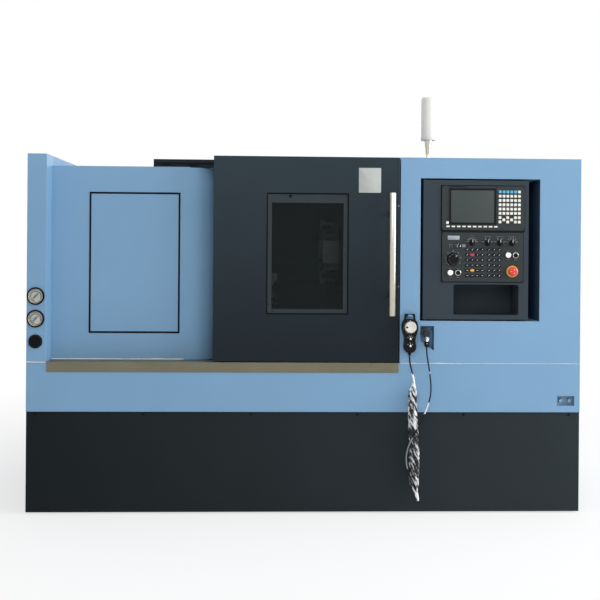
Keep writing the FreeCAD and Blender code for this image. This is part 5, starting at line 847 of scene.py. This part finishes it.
def push_button(piece, x, z, cap):
    y = PANEL_Y
    piece.boss((x, y, z), [(17, 0), (17, 3), (16.2, 4), (14.6, 4.2)], gauge_rim, 40)
    piece.boss((x, y - 3.8, z), [(14.4, 0), (14.4, 1), (13.6, 1.8), (11.4, 2), (11.2, 1.2)], chrome, 40)
    piece.boss((x, y - 3, z), [(11, 0), (11, 5), (10.2, 6.4), (8, 7), (0, 7)], cap, 40)


# places on the machine panel, as (x, z)
OVERRIDE = (712, 1236.5)
STOP = (1002, 1178)
LOCK = (738, 1300)
BUTTONS = [(698, 1170), (736, 1170), (981.5, 1257.5), (1017.5, 1256)]
SELECTORS = [(803.5, 7), (880, 4), (940, 4), (1000, 6)]  # x, and how many positions
SELECTOR_Z = 1316


def oval(x, z, half_x, half_z):
    turns = [radians(a) for a in range(0, 360, 15)]
    return [(x + half_x * cos(a), z + half_z * sin(a)) for a in turns]


def make_panel():
    p = Piece("panel_front")
    y = (PANEL_Y - 0.35, PANEL_Y + 0.1)
    joint_line(p, (658, 1054), (1127, 1366))
    p.slab(rounded((685, 742), (1330, 1350), 3), (PANEL_Y - 0.9, PANEL_Y + 0.1), plate_silver, 0.3, 2)
    for x, z in (((694, 695.2), (1291, 1307)), ((706, 707.2), (1291, 1307)),
            ((688, 706), (1306.4, 1307.4)), ((756, 772), (1295, 1308))):
        p.block(x, y, z, ink_grey)
    ticks(p, *OVERRIDE, 33, -140, 140, 22, 3.4, 0.7, y)
    ticks(p, *OVERRIDE, 38, -120, 120, 7, 2.6, 1.8, y)
    for x, count in SELECTORS:
        ticks(p, x, SELECTOR_Z, 18.5, -75, 75, count, 4.2, 1.6, y)
        ticks(p, x, SELECTOR_Z, 25, -75, 75, count, 3, 3, y, ink_grey)
    for x, z in (((863, 897), 1347), ((923, 957), 1347), ((982, 1018), 1347), ((796, 812), 1351)):
        p.block(x, y, (z, z + 1), ink_grey)
    ticks(p, *LOCK, 12.5, -60, 60, 3, 3, 1, y)
    for x, z in BUTTONS:
        p.block(about(x, 7), y, (z - 22, z - 20.8), ink_grey)
        p.block(about(x, 4), y, (z + 20, z + 21.2), ink_grey)
    p.boss((STOP[0], PANEL_Y, STOP[1]), [(28.4, 0), (28.4, 2.2), (27.6, 3.2), (22, 3.4), (17, 3.3)],
        ring_yellow, 64)
    screws(p, (663, 1049), PANEL_Y, (1132, 1361), 2.4)
    p.build("operator_box")

    k = Piece("panel_key_caps")
    for row in range(6):
        for column, x in enumerate((781, 805.4, 829.8, 854.2, 887.5, 913, 938.5)):
            z = 1283 - row * 25.3
            tone = {(1, 1): key_red, (4, 1): key_orange}.get((row, column), plastic)
            k.slab(oval(x, z, 10, 6.5), (PANEL_Y - 3, PANEL_Y + 0.1), tone, 0.9, 2)
            k.slab(oval(x, z, 10.8, 7.3), (PANEL_Y - 0.3, PANEL_Y + 0.1), rubber)
            if tone is plastic:
                lean = 38 if row < 3 or column > 3 else 90
                k.block(about(x, 0.8), (PANEL_Y - 3.15, PANEL_Y - 2.9), about(z, 4.2), ink_white, 0,
                    turned(x, z, lean))
    for (x, z), cap in zip(BUTTONS, (button_lit, plastic, button_lit, plastic)):
        push_button(k, x, z, cap)
    k.build("operator_box", "machine_keys")


def make_knobs():
    stop = Piece("stop_mushroom")
    x, z = STOP
    start = -801
    stop.boss((x, -787, z), [(11, 0), (11, 14.5)], plastic, 32)
    stop.boss((x, start, z), [(14, -0.4), (20.8, 0), (22, 1), (22.4, 3), (22.4, 7.5), (21.4, 10.2),
        (18.6, 12.4), (13.8, 13.6), (7, 14), (0, 14)], stop_red, 56)
    for k in range(3):
        stop.block(about(x, 1.4), (start - 14, start - 13.2), (z + 6, z + 12.5), ink_white, 0.2,
            turned(x, z, 120 * k + 30))
    stop.build("estop_button", "estop_button")

    dial = Piece("override_dial")
    x, z = OVERRIDE
    y = PANEL_Y - 0.3
    dial.boss((x, y, z), [(31.4, 0), (31.4, 2.6), (30.4, 4), (27, 4.2)], plastic, 64)
    dial.boss((x, y, z), [(29, 3.8), (28.6, 14.5), (27.2, 17.2), (24.6, 18.2), (17, 18.3), (0, 18.3)],
        plastic, 96, (24, 0.9))
    dial.block(about(x, 1.2), (y - 18.3, y - 17.9), (z + 8, z + 23), ink_white, 0, turned(x, z, 40))
    ticks(dial, x, z, 23.6, 0, 357, 120, 1.3, 1, (y - 18, y - 16.6))
    dial.build("override_knob", "override_knob")

    z = SELECTOR_Z
    for number, (x, _) in enumerate(SELECTORS, 1):
        name = "selector_%d" % number
        knob = Piece("selector_knob_%d" % number)
        knob.boss((x, y, z), [(14.5, 0), (14.5, 4.4), (13.6, 5.6), (11.6, 6.2), (0, 6.2)], plastic)
        knob.block(about(x, 4), (y - 18, y - 5), (z - 14.4, z + 17.2), plastic, 1.5)
        knob.block(about(x, 1), (y - 18.25, y - 17.6), (z + 2, z + 16.2), ink_white)
        knob.build(name, name)

    lock = Piece("key_lock")
    x, z = LOCK
    lock.boss((x, y, z), [(9, 0), (9, 4.8), (8.2, 6), (6.4, 6.1), (5.8, 5.4), (0, 5.4)], chrome, 40)
    lock.block(about(x, 1.4), (y - 11, y - 5), about(z, 4.5), chrome, 0.3)
    lock.slab(rounded(about(x, 3.8), (z - 8.6, z + 11.4), 3.4, 4), (y - 18, y - 11), plastic, 0.8, 2)
    lock.build("key_switch", "key_switch")


make_display()
make_panel()
make_knobs()


# ---- pendant
def smooth_loop(points, steps=6):
    """A closed smooth line through points in a plane."""
    made = []
    count = len(points)
    for k in range(count):
        a, b, c, d = [points[(k + j) % count] for j in (-1, 0, 1, 2)]
        for j in range(steps):
            t = j / steps
            made.append(tuple(0.5 * (2 * b[i] + (c[i] - a[i]) * t
                + (2 * a[i] - 5 * b[i] + 4 * c[i] - d[i]) * t * t
                + (3 * b[i] - a[i] - 3 * c[i] + d[i]) * t ** 3) for i in (0, 1)))
    return made


def make_pendant():
    x, dial_z, knobs = 499.5, 908, (("axis_knob", 853, 4), ("step_knob", 819, 3))
    back, front = FRONT_Y - 1, FRONT_Y - 42
    ink_y, loop_y, loop_z = (front - 0.2, front + 0.1), (-816.6, -805.4), (962.8, 970.8)
    half = [(20, 943.6), (32, 932), (37.8, 913), (37.2, 895), (31, 873), (26, 856), (25.4, 838),
        (28.2, 818), (27, 801), (18, 788), (7, 785.4)]
    outline = [(x + a, b) for a, b in half] + [(x - a, b) for a, b in half[::-1]]
    inner = [(x + (a - x) * 0.9, 866 + (b - 866) * 0.96) for a, b in outline]
    p = Piece("pendant_case")
    p.slab(smooth_loop(outline), (front, back + 17), navy_plastic, 6, 5)
    p.slab(smooth_loop(inner), (front + 20, back), rubber)
    for side in (-1, 1):
        leg = [(28.5, 930), (24.5, 971), (16.4, 962.8), (19.6, 930)]
        p.slab([(x + side * a, b) for a, b in leg], loop_y, navy_plastic, 1.4)
    p.block(about(x, 24.4), loop_y, loop_z, navy_plastic, 1.6)
    p.round((x, -811, 786), DOWN, [(9.4, 0), (8.6, 3), (8, 4), (7.4, 9), (6.6, 10), (6, 14), (5, 16.6)],
        rubber, 28)
    ticks(p, x, dial_z, 30.4, 0, 356.4, 50, 2, 0.5, ink_y)
    p.block(about(x, 0.9), (front - 0.25, front + 0.1), (938.6, 941.6), ink_white)
    for name, z, count in knobs:
        ticks(p, x, z, 10.6, -62, 62, count, 4, 2.2, ink_y)
    p.build("base", "pendant_body")

    d = Piece("pulse_dial")
    y = front - 0.3
    d.boss((x, y, dial_z), [(28.5, 0), (28.5, 6.2), (27.5, 7.4)], chrome, 72, (60, 0.5))
    d.boss((x, y - 7, dial_z), [(27.7, 0), (27.3, 2.8), (25.8, 4.4), (23.2, 5), (21.4, 4.2), (0, 4.2)],
        dial_cream, 64)
    ticks(d, x, dial_z, 23, 0, 356.4, 50, 2.4, 0.45, (y - 12.15, y - 11.4), plastic)
    d.boss((x - 18, y - 11, dial_z), [(5.6, 0), (5, 1), (4.6, 4), (3.6, 5), (0, 5)], plastic, 28)
    d.build("pendant_dial", "pendant_dial")

    for name, z, count in knobs:
        k = Piece(name)
        k.boss((x, y, z), [(8.5, 0), (8.5, 4.4), (7.8, 5.6), (6.2, 6), (0, 6)], plastic, 40, (12, 0.5))
        k.block(about(x, 2), (y - 10, y - 5.4), about(z, 8.3), plastic, 0.8)
        k.boss((x, y - 9.6, z), [(5, 0), (5, 0.5), (0, 0.5)], ink_white, 24)
        k.block(about(x, 1), (y - 10.2, y - 9.7), (z + 2, z + 8), ink_white)
        k.build("pendant_" + name, "pendant_" + name)


# ---- lamp, ports, inner light
def make_lamp():
    p = Piece("lamp_dome")
    x, y, dome_z = 602, -700, 1821
    p.round((x, y, dome_z), UP, [(20, 0.2), (32.5, 0), (35.2, 0.9), (36.5, 3.2), (36.5, 14.6), (36, 15.2),
        (36.5, 15.8), (36.5, 204.5), (35.6, 209.6), (32.5, 213), (28, 214), (0, 214)], lamp_white, 72)
    p.build("base", "lamp_body")
    s = Piece("lamp_post")
    s.round((x, y, ROOF_Z), UP, [(22, 0), (22, 4), (20.5, 6), (11, 6.4), (10.2, 9), (12, 30), (15.2, 62),
        (18.6, 89), (19, 93)], rod_steel, 64)
    for a in (0, 120, 240):
        s.round((*on_circle(x, y, 16, a), ROOF_Z + 5.6), UP, [(2.4, 0), (2.4, 1.4), (1.6, 2)], chrome, 16)
    s.build("base", "lamp_stem")


def make_ports():
    p = Piece("coolant_ports")
    y, z = -765, 547
    for x in (1249.5, 1291.5):
        p.boss((x, y, z), [(9.8, 0), (9.8, 3.4), (9.2, 4)], zinc, 6)
        p.boss((x, y - 4, z), [(9.3, 0), (9.3, 9.2), (8.6, 11.4), (6.4, 11.6), (6.2, 8), (0, 8)], brass, 40)
    p.build("base")


def make_inside():
    p = Piece("chamber_light")
    p.block((-120, 160), (236, 239.6), (1600, 1630), zinc, 2)
    p.block((-112, 152), (233, 236.4), (1606, 1624), work_light, 1.4)
    p.build("base")


make_pendant()
make_lamp()
make_ports()
make_inside()


# ---- finishes of the carried-over nodes
FINISHES = [
    (blue_paint, "lower_guard end_cover headstock_cover access_door right_cover rear_guard"),
    (dark_paint, "door_shell"),
    (beam_paint, "top_rail"),
    (base_paint, "front_skirt rear_skirts"),
    (box_paint, "operator_box"),
    (plate_paint, "display_unit machine_panel"),
    (blue_shade, "plug_socket"),
    (sill_steel_reflection_tint, "door_sill"),
    (rubber, "door_gasket drive_belt"),
    (window_glass, "door_glass"),
    (zinc, "levelling_feet"),
    (cast_paint, "machine_bed headstock carriage cross_slide tailstock spindle_motor"),
    (ground_steel, "spindle chuck chuck_jaw_1 chuck_jaw_2 chuck_jaw_3 turret_disc quill motor_pulley"),
    (inner_sheet, "chamber_guard coolant_tank"),
    (cabinet_paint, "electrical_cabinet cabinet_door"),
]
for material, names in FINISHES:
    for name in names.split():
        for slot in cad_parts[name].material_slots:
            slot.material = material


# ---- floor, world and lights
def make_floor():
    mesh = bpy.data.meshes.new("floor")
    reach = 14
    mesh.from_pydata([(-reach, -reach, 0), (reach, -reach, 0), (reach, reach, 0), (-reach, reach, 0)], [],
        [(0, 1, 2, 3)])
    floor = placed("floor", mesh)
    s = new_shader("floor")
    s.tree.nodes.remove(s.main)
    plain = s.node("BsdfDiffuse", {"Color": (0.86, 0.86, 0.86, 1)})
    white = s.node("Emission")
    seen = s.seen()
    away = s.node("VectorMath", {0: s.place}, operation="LENGTH").outputs["Value"]
    s.show(s.sum("MULTIPLY", seen, s.spread(away, 1.4, 3.6, 0.62, 1)), plain, white, "Material Output")
    mesh.materials.append(s.owner)


def make_world():
    world = bpy.data.worlds.new("world")
    s = Shader(world, "Background")
    s.feed(s.main, {"Color": (0.93, 0.96, 1, 1), "Strength": 0.42})
    white = s.node("Background", {"Color": (1, 1, 1, 1)})
    s.show(s.seen(), s.main, white, "World Output")
    scene.world = world


def area_light(name, place, aim, size, power):
    data = bpy.data.lights.new(name, "AREA")
    data.shape = "RECTANGLE"
    data.size, data.size_y = size
    data.energy = power
    light = placed(name, data)
    light.location = place
    light.rotation_euler = (Vector(aim) - Vector(place)).to_track_quat("-Z", "Y").to_euler()


make_floor()
make_world()
area_light("key", (6, -2.8, 3.1), (0, -0.4, 1), (3, 3), 225)
area_light("side", (5.8, -1.5, 1.5), (-1, -0.7, 1.2), (1.5, 2.2), 110)
area_light("fill", (-0.6, -5.4, 3.4), (-0.2, 0, 0.9), (2.4, 1.8), 62)
area_light("top", (0.4, -1, 5), (0, 0, 1), (4, 3), 80)
area_light("back", (0, 5, 3.4), (0, 0, 0.9), (4, 2.4), 90)

scene.view_settings.view_transform = "Standard"
